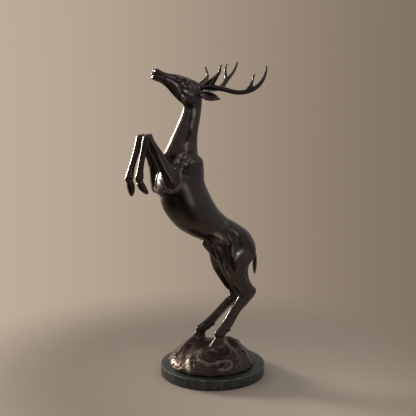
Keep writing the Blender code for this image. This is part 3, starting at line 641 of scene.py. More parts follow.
HAUNCH_STROKES = [
    (-2, 2.4, [(12, 283), (22.6, 271.5), (37, 260)]),
    (1.4, 2.4, [(14, 277), (18.5, 268), (25, 259)]),
    (2, 2.4, [(25, 265), (33, 259), (41, 252)]),
    (2, 5.2, [(-20, 267), (-2.5, 256), (5.8, 250), (18, 239)]),
    (-0.9, 4.6, [(-16, 255), (0, 246), (5.3, 242), (16, 233)]),
    (-1.8, 2.4, [(14, 257), (20.2, 247.5), (27, 235)]),
    (0.8, 2, [(16.5, 247), (19, 243.5), (24, 234)]),
    (1.4, 2.8, [(26.5, 243), (27.5, 230), (26.5, 210)]),
    (-1.4, 4, [(23, 242), (23, 222), (22.5, 204), (25, 184)]),
    (0.6, 3.2, [(33.5, 264), (34, 247), (33, 226)]),
    (-2, 4.2, [(40, 253), (44, 236), (46, 222)]),
    (2.6, 4.8, [(31, 212), (40, 215.5), (50, 219)]),
    (1.2, 5, [(34, 216), (34, 198), (33, 178)]),
    (1.3, 2.4, [(7, 207), (13.3, 191), (23, 172)]),
    (1.1, 2.4, [(11, 206), (19, 192.5), (28, 178)]),
    (-1.1, 2.4, [(10, 200), (15, 187), (21, 174)]),
    (1, 2.2, [(86, 212), (64.5, 199), (52, 187), (50, 176), (58, 160)]),
    (-1, 2.6, [(84, 203), (67, 194), (56.5, 184), (54.5, 175), (62, 162)]),
    (-0.7, 3.4, [(60, 240), (68, 224), (66, 206)]),
]
SHANK_STROKES = [
    (0.9, 1.9, [(56, 140), (43, 123), (30.5, 105), (18, 86.5), (4, 68)], NEAR_LEG),
    (-1.2, 1.6, [(62, 133), (48.5, 115), (37, 98), (22, 77)], NEAR_LEG),
    (-0.8, 1.4, [(50, 135), (36.5, 116.5), (24, 98), (11, 80)], NEAR_LEG),
    (0.8, 1.6, [(68, 129), (54, 110), (42, 95), (29, 75)], NEAR_LEG),
    (-1.4, 1.5, [(57, 124), (31.5, 102), (9, 81.5), (-8, 66)], FAR_LEG),
    (0.9, 1.7, [(63, 120), (36, 98), (14, 77), (-2, 62)], FAR_LEG),
    (-0.9, 1.4, [(68, 114), (41, 93), (18, 72)], FAR_LEG),
]
FACE_STROKES = [
    (2.1, 2.1, [(-114, 551), (-96.6, 546), (-87.4, 541.5), (-80, 534.5), (-74.5, 527.5), (-69.7, 519.5),
        (-65, 511)]),
    (1.8, 2.1, [(-72, 522), (-66.3, 513), (-62.5, 508.5), (-56, 505.5)]),
    (-2.4, 3, [(-104, 543), (-89.4, 533), (-82.2, 526.5), (-76, 519), (-71, 511.5), (-64, 503.5)]),
    (1.9, 1.8, [(-75, 535), (-71.4, 530.3), (-66, 524), (-60.3, 520.5), (-50, 519.5)]),
    (-1.3, 1.9, [(-72, 527), (-63.4, 518.5), (-55, 515)]),
    (-1.1, 1.9, [(-70, 534), (-76, 538), (-86, 545), (-98, 550)]),
    (2.2, 2, [(-80, 551), (-71.7, 547), (-65, 546.5), (-57, 547), (-49, 543)]),
    (-2.2, 1.8, [(-72, 543), (-63, 542.3), (-56.5, 542.3), (-48, 536)]),
    (1.2, 1.5, [(-75, 542), (-69.5, 537.5), (-65.5, 533)]),
    (1.6, 1.6, [(-65, 530.5), (-59.9, 531), (-54.5, 535)]),
    (-1.8, 1.8, [(-70, 531.5), (-63.5, 526.8), (-56, 527)]),
    (-1.2, 1.6, [(-36.5, 527), (-38.5, 518), (-32, 509)]),
    (-1.9, 1.2, [(-132, 554.5), (-116, 550), (-107, 545.5), (-94, 538)], ALL_ROUND),
    (0.9, 1.4, [(-130, 557.5), (-116, 553.3), (-103, 547.5)], ALL_ROUND),
    (0.9, 1.4, [(-128, 550), (-113.5, 544.5), (-101, 540)], ALL_ROUND),
    (-1, 1.3, [(-127, 560), (-119, 557), (-112.5, 554), (-101, 550.5)]),
    (-3, 1.8, [(-117, 561), (-112, 557.5)]),
    (1, 1.4, [(-110.5, 564), (-108.5, 558.5), (-113, 554.5)]),
]
# Folds down the front of the breast, drawn as seen from the front: (height, width, points).
BREAST_STROKES = [
    (-1.1, 1.6, [(5, 396), (4, 372), (6, 344)]),
    (0.9, 1.8, [(10, 394), (9, 370), (11, 346)]),
    (-1.3, 1.7, [(15, 392), (14, 368), (17, 348)]),
    (1, 1.8, [(20, 390), (19, 368), (21, 350)]),
    (-1, 1.8, [(25, 386), (25, 366), (26, 350)]),
]
# Strokes that stay on the ears: those beyond 15 mm from the middle.
EAR_STROKES = [
    (-1.2, 2.2, [(-34, 519.5), (-24, 518), (-14, 514.5), (-7, 511)]),
    (0.8, 1.5, [(-36, 515.5), (-22, 513), (-5, 509.5)]),
]
EAR_FROM = 15
# Thumbed swells on the profile: (height, half length, half breadth, x, z, lean in degrees).
SWELLS = [
    (-2.2, 9.5, 5.5, -61, 536.5, 12), (0.7, 8, 5, -74, 541.5, 24), (-0.8, 10, 5, -88, 538, 28),
    (1.4, 12, 9, -53, 511, 0), (-0.8, 4, 7, -44, 529, 0), (1.4, 22, 13, -56, 391, -4),
    (1, 18, 12, -15, 330, 55), (-0.8, 16, 10, -38, 305, 40), (-3.4, 16, 9, 15, 226, 90),
    (1, 12, 9, 62, 232, 50), (0.9, 16, 10, 46, 186, 60),
]
# Eyeballs on the profile: (height, half length, half breadth, x, z, lean in degrees).
EYE = (2.0, 4.2, 2.8, -59, 537.2, 12)
LIDS = [
    (0.8, 1, [(-66.5, 535), (-63, 539.8), (-58.5, 541.3), (-54, 539), (-51, 535)]),
    (0.5, 1, [(-67, 536), (-63, 533.6), (-58, 533.3), (-52, 537)]),
    (-0.7, 1.2, [(-64, 536), (-70, 532.5), (-75, 527)]),
]
# Painted highlights: pale patches laid on the figure's patina, on the profile: (strength, width, points).
PAINTED_HIGHLIGHT_STROKES = [
    (1, 2.7, [(-43, 492), (-44.6, 482), (-46, 475)]),
    (0.7, 1.6, [(-45, 482), (-46.9, 473.4), (-48.9, 464), (-51, 455)]),
    (0.4, 2.4, [(-61.5, 430), (-64.2, 420.7), (-64.7, 411)]),
    (0.5, 1.4, [(-80, 407), (-71, 413), (-61, 415)]),
    (0.4, 1.3, ARM_FOLD[2:]),
    (0.35, 1.2, ARM_EDGE),
    (0.5, 1.1, [(-122, 414), (-109, 386.5), (-96, 363)]),
    (0.5, 5, [(-75, 362), (-70.9, 351.4), (-65.6, 338.4), (-61.8, 328.9), (-55.5, 315)]),
    (0.8, 2.5, [(30, 207), (35, 214), (40.8, 219.5), (50, 223)]),
    (0.6, 1.3, [(27, 266), (32.8, 259.9), (40.5, 251)]),
    (0.8, 4.4, [(-12, 261), (-2.5, 255.5), (5.1, 247.7), (11, 240)]),
    (0.7, 1.1, [(-76, 396), (-70.2, 392.8), (-65.3, 395.8), (-63.5, 397)]),
    (0.6, 1, [(27.8, 234), (27.4, 224), (26.6, 212)]),
    (0.45, 1.2, [(9, 203), (14, 189), (21, 175)]),
    (0.4, 0.9, [(17, 259), (23, 249), (29, 236)]),
    (0.4, 0.9, [(11.5, 254), (16.5, 245), (23, 234)]),
    (1, 1.4, [(-80, 403), (-81.5, 399), (-81, 393)]),
    (0.5, 1.5, [(-96, 545.5), (-90, 543), (-83.8, 540.2), (-76.8, 533), (-70.8, 524), (-67.1, 516.8),
        (-61, 507)]),
    (0.6, 1.6, [(-70, 524), (-67.1, 516.8), (-61, 507)]),
    (0.7, 1.4, [(-65, 528.5), (-60.3, 522.1), (-55.2, 518.5), (-45, 517)]),
    (0.7, 1.5, [(-76, 546.8), (-70.2, 544.7), (-64.5, 543.4)]),
    (0.8, 1.5, [(-64, 548.2), (-56.3, 545), (-50.5, 540.5)]),
    (0.5, 1.4, [(-68, 538.6), (-62.5, 534.5)]),
    (0.35, 2.2, [(14, 280.5), (22.5, 274)]),
    (0.35, 1.8, [(-2.5, 237), (2.8, 230.7), (6.8, 224)]),
]
# Painted shade and painted dark reflections, near black, on the profile the same way.
PAINTED_SHADE_STROKES = [
    (0.9, 9, [(-82, 352), (-76, 334), (-68, 315), (-57, 297), (-44, 280)]),
    (1, 7.5, [(3, 245), (12, 228), (18, 212), (24, 192)]),
    (0.8, 5, [(-100, 538), (-88, 526), (-78, 513), (-68, 501)]),
    (0.8, 2.6, [(40, 243), (43.5, 231)]),
    (0.6, 3, [(-50.5, 490), (-52, 468), (-55, 450), (-61, 432)]),
    (0.7, 2.6, [(-72, 390), (-67, 384)]),
    (0.5, 9, [(44, 258), (61, 240), (72, 220), (84, 200)]),
    (0.45, 4, [(-118, 562), (-98, 549), (-78, 538)]),
]
# Painted highlights on the ears' rims.
EAR_PAINTED_HIGHLIGHT_STROKES = [
    (0.6, 1.1, [(-35, 522), (-28, 524), (-20, 522.5), (-10, 516), (-3, 510)]),
    (0.5, 1.1, [(-33, 509), (-24, 505.5), (-14, 505), (-4, 508)]),
]
# Painted highlights on the rock, drawn on the rock's plan.
ROCK_PAINTED_HIGHLIGHT_STROKES = [
    (0.8, 3.2, [(-64, -24), (-69, -38), (-70, -50)]),
    (0.35, 1.6, [(-54, -42), (-44, -57), (-30, -65), (-12, -66), (4, -70)]),
    (0.35, 1.5, [(4, -68), (4, -75), (-8, -79), (-26, -76)]),
    (0.35, 1.8, [(27, 0), (23, -30), (21, -56)]),
    (0.35, 1.8, [(48, 0), (53, -30), (49, -58)]),
    (0.4, 2.4, [(-28, -38), (-18, -33), (-10, -42)]),
]
# Rings round a limb: (height, width, centre, way along the limb, reach across).
BANDS = [
    (-0.8, 1.3, (-155, -24, 368), (0.48, 0, -0.87), 9),
    (0.5, 1.5, (-153.6, -24, 365), (0.48, 0, -0.87), 9),
    (-0.8, 1.3, (-156, 24, 363.4), (0.06, 0, -1), 10),
    (0.5, 1.5, (-156, 24, 360.6), (0.06, 0, -1), 10),
    (-0.6, 1.4, (2, -25, 57.6), (-0.1, 0, -1), 15),
    (-0.6, 1.4, (-14, 25, 58.5), (-0.35, 0, -0.94), 16),
]
# Ridges and cuts in the rock's skin, drawn on its plan: (height, width, points).
ROCK_STROKES = [
    (1.5, 1.8, [(-60, -36), (-48, -50), (-40, -58), (-28, -66), (-16, -65), (-6, -67), (3, -69), (7, -73)]),
    (1.5, 1.7, [(2, -66), (4, -75), (-6, -79), (-15, -79), (-27, -75), (-42, -65)]),
    (1.1, 1.5, [(-25, -77), (-9, -72), (-14, -68), (-24, -69)]),
    (-1.1, 2, [(-52, -55), (-39, -63), (-26, -71), (-10, -70)]),
    (-1.2, 1.6, [(-60, -38), (-64, -48), (-66, -56)]),
    (1.2, 2, [(28, 6), (24, -20), (22, -38), (21, -56), (24, -77)]),
    (1.2, 2, [(47, 8), (53, -18), (52, -38), (47, -65)]),
    (-1.2, 2.4, [(36, 4), (38, -20), (36, -42), (36, -66)]),
    (1, 2.2, [(2, -30), (15, -32), (12, -55)]),
    (1, 2.6, [(-36, -42), (-18, -33), (-8, -44)]),
    (0.9, 1.8, [(-24, 69), (8, 64), (34, 56), (58, 38)]),
    (0.9, 1.8, [(62, 9), (56, 34), (34, 66)]),
    (-1, 2, [(-62, 38), (-40, 55), (-16, 60), (14, 51)]),
    (0.9, 2, [(-75, 6), (-66, 30), (-48, 50)]),
]


def stroke(places, spots, height, width, line):
    """How far a stroke, which fades in and out, lifts each vertex. Only those near it are worked out."""
    line = smooth_rows(line, 3)
    lift = np.zeros(len(places))
    margin = 3 * width
    low, high = np.min(line, axis=0) - margin, np.max(line, axis=0) + margin
    close = ((spots > low) & (spots < high)).all(axis=1)
    gap, inward = nearest_on(spots[close], line)
    fade = np.clip(inward / margin, 0, 1)
    lift[close] = height * np.exp(-((gap / width) ** 2)) * (0.15 + 0.85 * fade * (2 - fade))
    return lift


def oval_distance(spots, half_length, half_breadth, x, z, lean):
    """How far out each point lies in a leaning oval: 0 at its middle, 1 at its edge."""
    c, s = math.cos(math.radians(lean)), math.sin(math.radians(lean))
    u, v = spots[:, 0] - x, spots[:, 1] - z
    return np.hypot((u * c - v * s) / half_length, (u * s + v * c) / half_breadth)


def facing(places, normals, where, beyond=1):
    """The share of a mark that each vertex takes, by its side of the body and the way that it faces."""
    if not where:
        return np.ones(len(places))
    share = np.zeros(len(places))
    for side, way in where:
        share += np.clip(way * normals[:, 1] * 1.6, 0, 1) * (side * places[:, 1] > beyond)
    return share


def add_strokes(lift, places, normals, table, beyond=1):
    """Adds the lift of a table of strokes on the profile."""
    for height, width, line, *where in table:
        share = facing(places, normals, where[0] if where else BOTH, beyond)
        lift += stroke(places, places[:, (0, 2)], height, width, line) * share


def work_surface(mesh):
    """Raises ridges and swells and presses grooves into the figure."""
    places, normals = read_places(mesh), read_normals(mesh)
    profile = places[:, (0, 2)]
    outward = facing(places, normals, BOTH)
    lift = np.zeros(len(places))
    for table in (NECK_STROKES, SHOULDER_STROKES, ARM_STROKES, HAUNCH_STROKES, SHANK_STROKES):
        add_strokes(lift, places, normals, table)
    for height, *oval in SWELLS:
        lift += height * np.exp(-(oval_distance(profile, *oval) ** 2)) * outward
    breast = np.clip(-2 * normals[:, 0] - 0.6, 0, 1) * (places[:, 0] < -96) * (places[:, 0] > -122)
    for height, width, line in BREAST_STROKES:
        lift += stroke(places, places[:, 1:], height, width, line) * breast
    for height, width, centre, along, reach in BANDS:
        along = np.array(along) / np.linalg.norm(along)
        offset = places - centre
        run = offset @ along
        across = np.linalg.norm(offset - np.outer(run, along), axis=1)
        lift += height * np.exp(-((run / width) ** 2)) * (across < reach)
    write_places(mesh, places + normals * lift[:, None])


def work_face(mesh):
    """Models the head's ridges, lids, nostrils and lips, and the folds inside the ears."""
    places, normals = read_places(mesh), read_normals(mesh)
    lift = np.zeros(len(places))
    add_strokes(lift, places, normals, FACE_STROKES)
    bulge = oval_distance(places[:, (0, 2)], *EYE[1:])
    lift += EYE[0] * np.sqrt(np.clip(1 - bulge**2, 0, 1)) * facing(places, normals, BOTH)
    add_strokes(lift, places, normals, LIDS)
    add_strokes(lift, places, normals, EAR_STROKES, EAR_FROM)
    write_places(mesh, places + normals * lift[:, None])


# The grooves along a tine: (turn round it in radians, depth). They start beyond this x and z.
TINE_GROOVES = [(0.3, 1), (1.5, 0.7), (2.7, 1), (3.9, 0.6), (5.2, 0.9)]
GROOVED_FROM = (-24, 510)


def groove_tines(mesh):
    """Runs shallow grooves along each tine, as a real antler has, fading towards its tip."""
    places, normals = read_places(mesh), read_normals(mesh)
    high = np.flatnonzero((places[:, 2] > GROOVED_FROM[1]) & (places[:, 0] > GROOVED_FROM[0]))
    spots = places[high]
    nearest = np.full(len(high), 1.5)
    lift = np.zeros(len(high))
    for number, run in enumerate(NEAR_ANTLER + FAR_ANTLER):
        rows, first, second = round_run(run)
        line = rows[:, :3]
        gaps = np.sqrt((spots**2).sum(1)[:, None] + (line**2).sum(1)[None] - 2 * spots @ line.T.copy())
        at = gaps.argmin(axis=1)
        ratio = gaps[np.arange(len(high)), at] / rows[at, 3]
        offset = spots - rows[at, :3]
        turn = np.arctan2((offset * second[at]).sum(1), (offset * first[at]).sum(1))
        along = at / len(rows)
        groove = np.zeros(len(high))
        for k, (angle, depth) in enumerate(TINE_GROOVES):
            wander = 0.5 * math.sin(k + number) * along
            off = (turn - angle - number - wander + math.pi) % (2 * math.pi) - math.pi
            groove += depth * np.exp(-((off / 0.26) ** 2))
        fade = np.clip((1 - along) * 2.2, 0, 1) * np.clip((ratio - 0.4) * 3, 0, 1)
        mine = ratio < nearest
        nearest[mine] = ratio[mine]
        lift[mine] = (-0.13 * rows[at, 3] * groove * fade)[mine]
    places[high] += normals[high] * lift[:, None]
    write_places(mesh, places)


def waves(places, length, seed, count=28):
    """An even, cloudy field over space with humps about the given length apart, near 1 high."""
    luck = np.random.default_rng(seed)
    total = np.zeros(len(places))
    for _ in range(count):
        way = luck.normal(size=3)
        way *= 2 * math.pi / (length * luck.uniform(0.75, 1.35) * np.linalg.norm(way))
        total += np.sin(places @ way + luck.uniform(0, 2 * math.pi))
    return total / math.sqrt(count / 2)


def rough_out(mesh, relief):
    """The rock's melted-looking skin, and over the rest the unevenness that fingers leave in clay."""
    places, normals = read_places(mesh), read_normals(mesh)
    lift = 0.05 * waves(places, 20, 3) + 0.02 * waves(places, 6, 4)
    rocky = np.flatnonzero(places[:, 2] < 72)
    spots = places[rocky]
    leg = np.minimum(
        distance_to(spots, [(2, -25, 80), (2, -25, 52), (0, -25, 44)]),
        distance_to(spots, [(-8, 25, 80), (-15, 25, 55), (-20, 25, 46)]),
    )
    rise = spots[:, 2]
    bare = np.clip((leg - 10) / 8, 0, 1) * np.clip(rise / 4, 0, 1) * np.clip((70 - rise) / 10, 0, 1)
    drift = np.stack([waves(spots, 34, seed) for seed in (11, 12, 13)], 1)
    flow = spots + 6 * drift
    ridges = 1 - np.abs(waves(flow, 40, 21))
    folds = np.clip(ridges, -0.6, 1) ** 3 * 0.8 + 0.45 * waves(flow, 22, 22) + 0.22 * waves(flow, 9, 23)
    upward = np.clip(normals[rocky, 2] * 3 + 0.4, 0, 1)
    cut = np.zeros(len(rocky))
    for height, width, line in ROCK_STROKES:
        cut += stroke(spots, spots[:, :2], height, width, line)
    lift[rocky] += (relief * folds * bare + cut * np.clip(bare * 1.5, 0, 1)) * upward
    write_places(mesh, places + normals * lift[:, None])


def refine_head(mesh):
    """Halves the grid over the head and ears, where the finest modelling is."""
    bm = bmesh.new()
    bm.from_mesh(mesh)
    edges = []
    for edge in bm.edges:
        front = -2 if edge.verts[0].co.z < 527 else -40
        if min(v.co.z for v in edge.verts) > 498 and max(v.co.x for v in edge.verts) < front:
            edges.append(edge)
    bmesh.ops.subdivide_edges(bm, edges=edges, cuts=1, use_grid_fill=True)
    bmesh.ops.triangulate(bm, faces=[f for f in bm.faces if len(f.verts) > 4])
    bm.to_mesh(mesh)
    bm.free()
    table, degree = neighbour_table(mesh)
    places = read_places(mesh)
    fine = ((places[:, 2] > 497) & (places[:, 0] < -1))[:, None]
    for factor in (0.5, -0.5, 0.5, -0.5):
        places = places + factor * fine * pull_of(places, table, degree)
    write_places(mesh, places)


def mark_wear(mesh, reach):
    """Stores how far each place stands out, above 0.5, or lies in a hollow, below it, for the patina."""
    table, degree = neighbour_table(mesh)
    places = read_places(mesh)
    soft = places
    for _ in range(reach):
        soft = soft + pull_of(soft, table, degree)
    stands_out = ((places - soft) * read_normals(mesh)).sum(axis=1)
    for _ in range(3):
        stands_out = stands_out + pull_of(stands_out[:, None], table, degree)[:, 0]
    zone = zones(places)
    slender = zone["antlers"] | zone["forelegs"] | zone["shanks"]
    fore_hooves = (places[:, 2] < 368) & (places[:, 0] < -136)
    # The slender parts keep less wear, and the antlers and fore hooves are set darker than their shape
    # gives.
    stands_out[slender] = np.minimum(stands_out[slender], 0.35 * stands_out[slender])
    stands_out[zone["antlers"]] -= 0.25
    stands_out[fore_hooves] -= 0.26
    wear = mesh.attributes.new("wear", "FLOAT", "POINT")
    wear.data.foreach_set("value", np.clip(0.5 + stands_out / 0.9, 0, 1).astype(np.float32))


def mark_patina(mesh):
    """Stores how strong the painted highlights and the painted shade are at each place, from 0 to 1."""
    places, normals = read_places(mesh), read_normals(mesh)
    profile, plan = places[:, (0, 2)], places[:, :2]
    figure = facing(places, normals, BOTH) * (places[:, 2] > 75)
    ears = facing(places, normals, BOTH, EAR_FROM)
    rock = (places[:, 2] < 52).astype(float)
    for name, tables in (
        ("painted_highlight", ((PAINTED_HIGHLIGHT_STROKES, profile, figure), (EAR_PAINTED_HIGHLIGHT_STROKES, profile, ears), (ROCK_PAINTED_HIGHLIGHT_STROKES, plan, rock))),
        ("painted_shade", ((PAINTED_SHADE_STROKES, profile, figure),)),
    ):
        marks = np.zeros(len(places))
        for table, spots, share in tables:
            for strength, width, line in table:
                marks = np.maximum(marks, stroke(places, spots, strength, width, line) * share)
        mesh.attributes.new(name, "FLOAT", "POINT").data.foreach_set("value", marks.astype(np.float32))


def fit_to_node(mesh):
    """Takes the casting from millimetres above the slab to its node's box."""
    places = read_places(mesh)
    places[:, 2] = np.maximum(places[:, 2], 0)
    low, high = places.min(axis=0), places.max(axis=0)
    room_low, room_high = np.array(CAST_LOW), np.array(CAST_HIGH)
    write_places(mesh, room_low + (places - low) / (high - low) * (room_high - room_low))


# Materials.


def add_node(tree, kind, inputs=None, **settings):
    """Adds a node. settings are its own choices. inputs gives each socket a value, an output or a node.

    A node there stands for its first output that is in use.
    """
    made = tree.nodes.new("ShaderNode" + kind)
    for name, value in settings.items():
        setattr(made, name, value)
    for name, value in (inputs or {}).items():
        if isinstance(value, bpy.types.Node):
            value = next(output for output in value.outputs if output.enabled)
        if isinstance(value, bpy.types.NodeSocket):
            tree.links.new(value, made.inputs[name])
        else:
            made.inputs[name].default_value = value
    return made


def new_material(name):
    made = bpy.data.materials.new(name)
    made.use_nodes = True
    made.node_tree.nodes.clear()
    return made, made.node_tree


def per_metre(millimetres):
    """A pattern's scale, so that it repeats about every so many millimetres."""
    return 1 / (millimetres * MM)


def patinated_bronze(settings):
    """Cast bronze, chased smooth, given a hot brown-black patina and waxed.

    The patina is nearly black in the hollows, a warmer brown on the rock and thin on ridges. Over it lie
    near-black painted shade and painted dark reflections, and pale painted highlights. The wax over it
    gives a soft grey sheen above the metal's own browner one.
    """
    made, tree = new_material("waxed_brown_patina_on_cast_bronze")
    place = add_node(tree, "TexCoord").outputs["Object"]
    height = add_node(tree, "SeparateXYZ", {"Vector": place}).outputs["Z"]
    wear = add_node(tree, "Attribute", attribute_name="wear").outputs["Fac"]
    # Where the shade and the highlights are painted.
    shade_share = add_node(tree, "Attribute", attribute_name="painted_shade").outputs["Fac"]
    highlight_share = add_node(tree, "Attribute", attribute_name="painted_highlight").outputs["Fac"]
    clouds = add_node(
        tree, "TexNoise", {"Vector": place, "Scale": per_metre(38), "Detail": 4.0, "Roughness": 0.55}
    )
    flecks = add_node(
        tree, "TexNoise", {"Vector": place, "Scale": per_metre(7), "Detail": 5.0, "Roughness": 0.6}
    )
    brown = add_node(tree, "MapRange", {"Value": clouds, "From Min": 0.38, "From Max": 0.66})
    # The rock's patina fades in below the hooves, from 75 to 45 mm above the slab.
    rock = add_node(
        tree, "MapRange",
        {"Value": height, "From Min": CAST_LOW.z + 0.075, "From Max": CAST_LOW.z + 0.045, "To Max": 0.6},
    )
    hollow = add_node(tree, "MapRange", {"Value": wear, "From Min": 0.46, "From Max": 0.2, "To Max": 0.85})
    ridge = add_node(tree, "Math", {0: wear, 1: flecks}, operation="MULTIPLY")
    thin = add_node(tree, "MapRange", {"Value": ridge, "From Min": 0.3, "From Max": 0.55, "To Max": 0.5})
    colour = (*settings.patina, 1)
    # The last two layers are painted light: near-black painted shade and dark reflections, then pale
    # painted highlights.
    for share, layer in (
        (brown, settings.brown), (rock, settings.rock_brown), (hollow, settings.pooled_patina_and_painted_shade),
        (thin, settings.worn), (shade_share, settings.pooled_patina_and_painted_shade), (highlight_share, settings.highlight_paint),
    ):
        colour = add_node(tree, "Mix", {"Factor": share, "A": colour, "B": (*layer, 1)}, data_type="RGBA")
    smooth = add_node(
        tree, "MapRange",
        {"Value": flecks, "From Min": 0.3, "From Max": 0.7, "To Min": 0.23, "To Max": 0.32},
    )
    gloss = add_node(tree, "Math", {0: rock, 1: 0.22, 2: smooth}, operation="MULTIPLY_ADD")
    # The wax is thick on the figure, thin on the rock, and thinned where the shade is painted, which
    # darkens the painted shade further.
    waxed = add_node(tree, "Math", {0: rock, 1: -0.55, 2: 0.8}, operation="MULTIPLY_ADD")
    wax = add_node(tree, "Math", {0: shade_share, 1: -0.55, 2: waxed}, operation="MULTIPLY_ADD")
    skin = add_node(
        tree, "TexNoise", {"Vector": place, "Scale": per_metre(2.6), "Detail": 3.0, "Roughness": 0.5}
    )
    grain = add_node(tree, "Math", {0: rock, 1: 0.6, 2: 0.22}, operation="MULTIPLY_ADD")
    relief = add_node(tree, "Bump", {"Height": skin, "Strength": grain, "Distance": 0.15 * MM})
    shader = add_node(
        tree, "BsdfPrincipled",
        {
            "Base Color": colour, "Roughness": gloss, "Metallic": 0.86, "Normal": relief,
            "Coat Weight": wax, "Coat Roughness": 0.16,
        },
    )
    add_node(tree, "OutputMaterial", {"Surface": shader})
    return made


def honed_marble(settings):
    """Dark green-grey marble, sawn, turned round and honed to a low sheen, with pale veins.

    The turned edge has gone pale where it was knocked, and streaks run down the side.
    """
    made, tree = new_material("honed_dark_green_marble")
    radius = (SLAB_HIGH.x - SLAB_LOW.x) / 2
    place = add_node(tree, "TexCoord").outputs["Object"]
    height = add_node(tree, "SeparateXYZ", {"Vector": place}).outputs["Z"]
    flat = add_node(tree, "VectorMath", {0: place, 1: (1, 1, 0)}, operation="MULTIPLY")
    out = add_node(tree, "VectorMath", {0: flat}, operation="LENGTH")
    clouds = add_node(
        tree, "TexNoise", {"Vector": place, "Scale": per_metre(45), "Detail": 6.0, "Roughness": 0.6}
    )
    # The veins run between stones of about 55 mm, bent by a broad drift.
    drift = add_node(
        tree, "TexNoise", {"Vector": place, "Scale": per_metre(60), "Detail": 4.0, "Roughness": 0.6}
    ).outputs["Color"]
    bent = add_node(tree, "Mix", {"Factor": 0.06, "A": place, "B": drift}, data_type="VECTOR")
    cells = add_node(
        tree, "TexVoronoi", {"Vector": bent, "Scale": per_metre(55)}, feature="DISTANCE_TO_EDGE"
    )
    vein = add_node(tree, "MapRange", {"Value": cells, "From Min": 0.02, "From Max": 0.0, "To Max": 0.25})
    # The knocked edge lies where the outermost ring meets the top.
    rim = add_node(
        tree, "MapRange", {"Value": out, "From Min": radius - 2.4 * MM, "From Max": radius - 0.4 * MM}
    )
    top = add_node(
        tree, "MapRange",
        {"Value": height, "From Min": SLAB_HIGH.z - 2.2 * MM, "From Max": SLAB_HIGH.z - 0.3 * MM},
    )
    edge = add_node(tree, "Math", {0: rim, 1: top}, operation="MULTIPLY")
    knocks = add_node(
        tree, "TexNoise", {"Vector": place, "Scale": per_metre(6), "Detail": 4.0, "Roughness": 0.7}
    )
    knocked = add_node(
        tree, "MapRange", {"Value": knocks, "From Min": 0.42, "From Max": 0.66, "To Max": 0.75}
    )
    worn = add_node(tree, "Math", {0: edge, 1: knocked}, operation="MULTIPLY")
    # Saw streaks run down the turned side.
    stretch = add_node(tree, "Mapping", {"Vector": place, "Scale": (1.0, 1.0, 0.08)})
    streaks = add_node(
        tree, "TexNoise", {"Vector": stretch, "Scale": per_metre(5), "Detail": 3.0, "Roughness": 0.6}
    )
    marked = add_node(
        tree, "MapRange", {"Value": streaks, "From Min": 0.5, "From Max": 0.75, "To Max": 0.35}
    )
    side = add_node(
        tree, "MapRange", {"Value": out, "From Min": radius - 0.6 * MM, "From Max": radius - 0.2 * MM}
    )
    streaked = add_node(tree, "Math", {0: marked, 1: side}, operation="MULTIPLY")
    colour = (*settings.dark, 1)
    for share, layer in (
        (clouds, settings.light), (vein, settings.vein), (worn, settings.worn), (streaked, settings.vein)
    ):
        colour = add_node(tree, "Mix", {"Factor": share, "A": colour, "B": (*layer, 1)}, data_type="RGBA")
    gloss = add_node(
        tree, "MapRange",
        {"Value": knocks, "From Min": 0.3, "From Max": 0.7, "To Min": 0.26, "To Max": 0.42},
    )
    pits = add_node(
        tree, "TexNoise", {"Vector": place, "Scale": per_metre(1.8), "Detail": 3.0, "Roughness": 0.6}
    )
    relief = add_node(tree, "Bump", {"Height": pits, "Strength": 0.15, "Distance": 0.1 * MM})
    shader = add_node(
        tree, "BsdfPrincipled", {"Base Color": colour, "Roughness": gloss, "IOR": 1.5, "Normal": relief}
    )
    add_node(tree, "OutputMaterial", {"Surface": shader})
    return made


# What a user may change.


class CastingSettings(bpy.types.PropertyGroup):
    grain: FloatProperty(
        name="Grain", description="Grid on which the shapes are merged, in millimetres",
        default=0.9, min=0.6, max=3,
    )
    triangles: IntProperty(
        name="Triangles", description="Most triangles that the casting keeps",
        default=192000, min=20000, max=198000,
    )
    relief: FloatProperty(
        name="Rock relief", description="Height of the rock's folds, in millimetres",
        default=0.75, min=0, max=3,
    )
    patina: FloatVectorProperty(
        name="Patina", description="The dark patina", subtype="COLOR", default=srgb("#3B322F")
    )
    brown: FloatVectorProperty(
        name="Brown patina", description="Where the patina is thinner",
        subtype="COLOR", default=srgb("#48342C"),
    )
    rock_brown: FloatVectorProperty(
        name="Rock patina", description="The rock's warmer brown", subtype="COLOR", default=srgb("#46332B")
    )
    # This colour is the patina in the hollows, and also the colour of the painted shade and painted dark
    # reflections.
    pooled_patina_and_painted_shade: FloatVectorProperty(
        name="Pooled patina", description="The nearly black hollows",
        subtype="COLOR", default=srgb("#191210"),
    )
    worn: FloatVectorProperty(
        name="Worn patina", description="Ridges where the patina is thin",
        subtype="COLOR", default=srgb("#6E5C50"),
    )
    # The colour of the painted highlights.
    highlight_paint: FloatVectorProperty(
        name="Highlight bronze", description="High places that hands have rubbed pale", subtype="COLOR",
        default=srgb("#C4B9B2"),
    )


class SlabSettings(bpy.types.PropertyGroup):
    arris: FloatProperty(
        name="Arris", description="Width of the eased edge", unit="LENGTH",
        default=1.1 * MM, min=0.2 * MM, max=3 * MM,
    )
    dark: FloatVectorProperty(
        name="Dark ground", description="The marble's dark ground", subtype="COLOR", default=srgb("#1B2020")
    )
    light: FloatVectorProperty(
        name="Light ground", description="The marble's lighter clouds",
        subtype="COLOR", default=srgb("#343A38"),
    )
    vein: FloatVectorProperty(
        name="Veins", description="Pale veins and streaks", subtype="COLOR", default=srgb("#7D827C")
    )
    worn: FloatVectorProperty(
        name="Knocked edge", description="The edge where it was knocked",
        subtype="COLOR", default=srgb("#9A9C94"),
    )


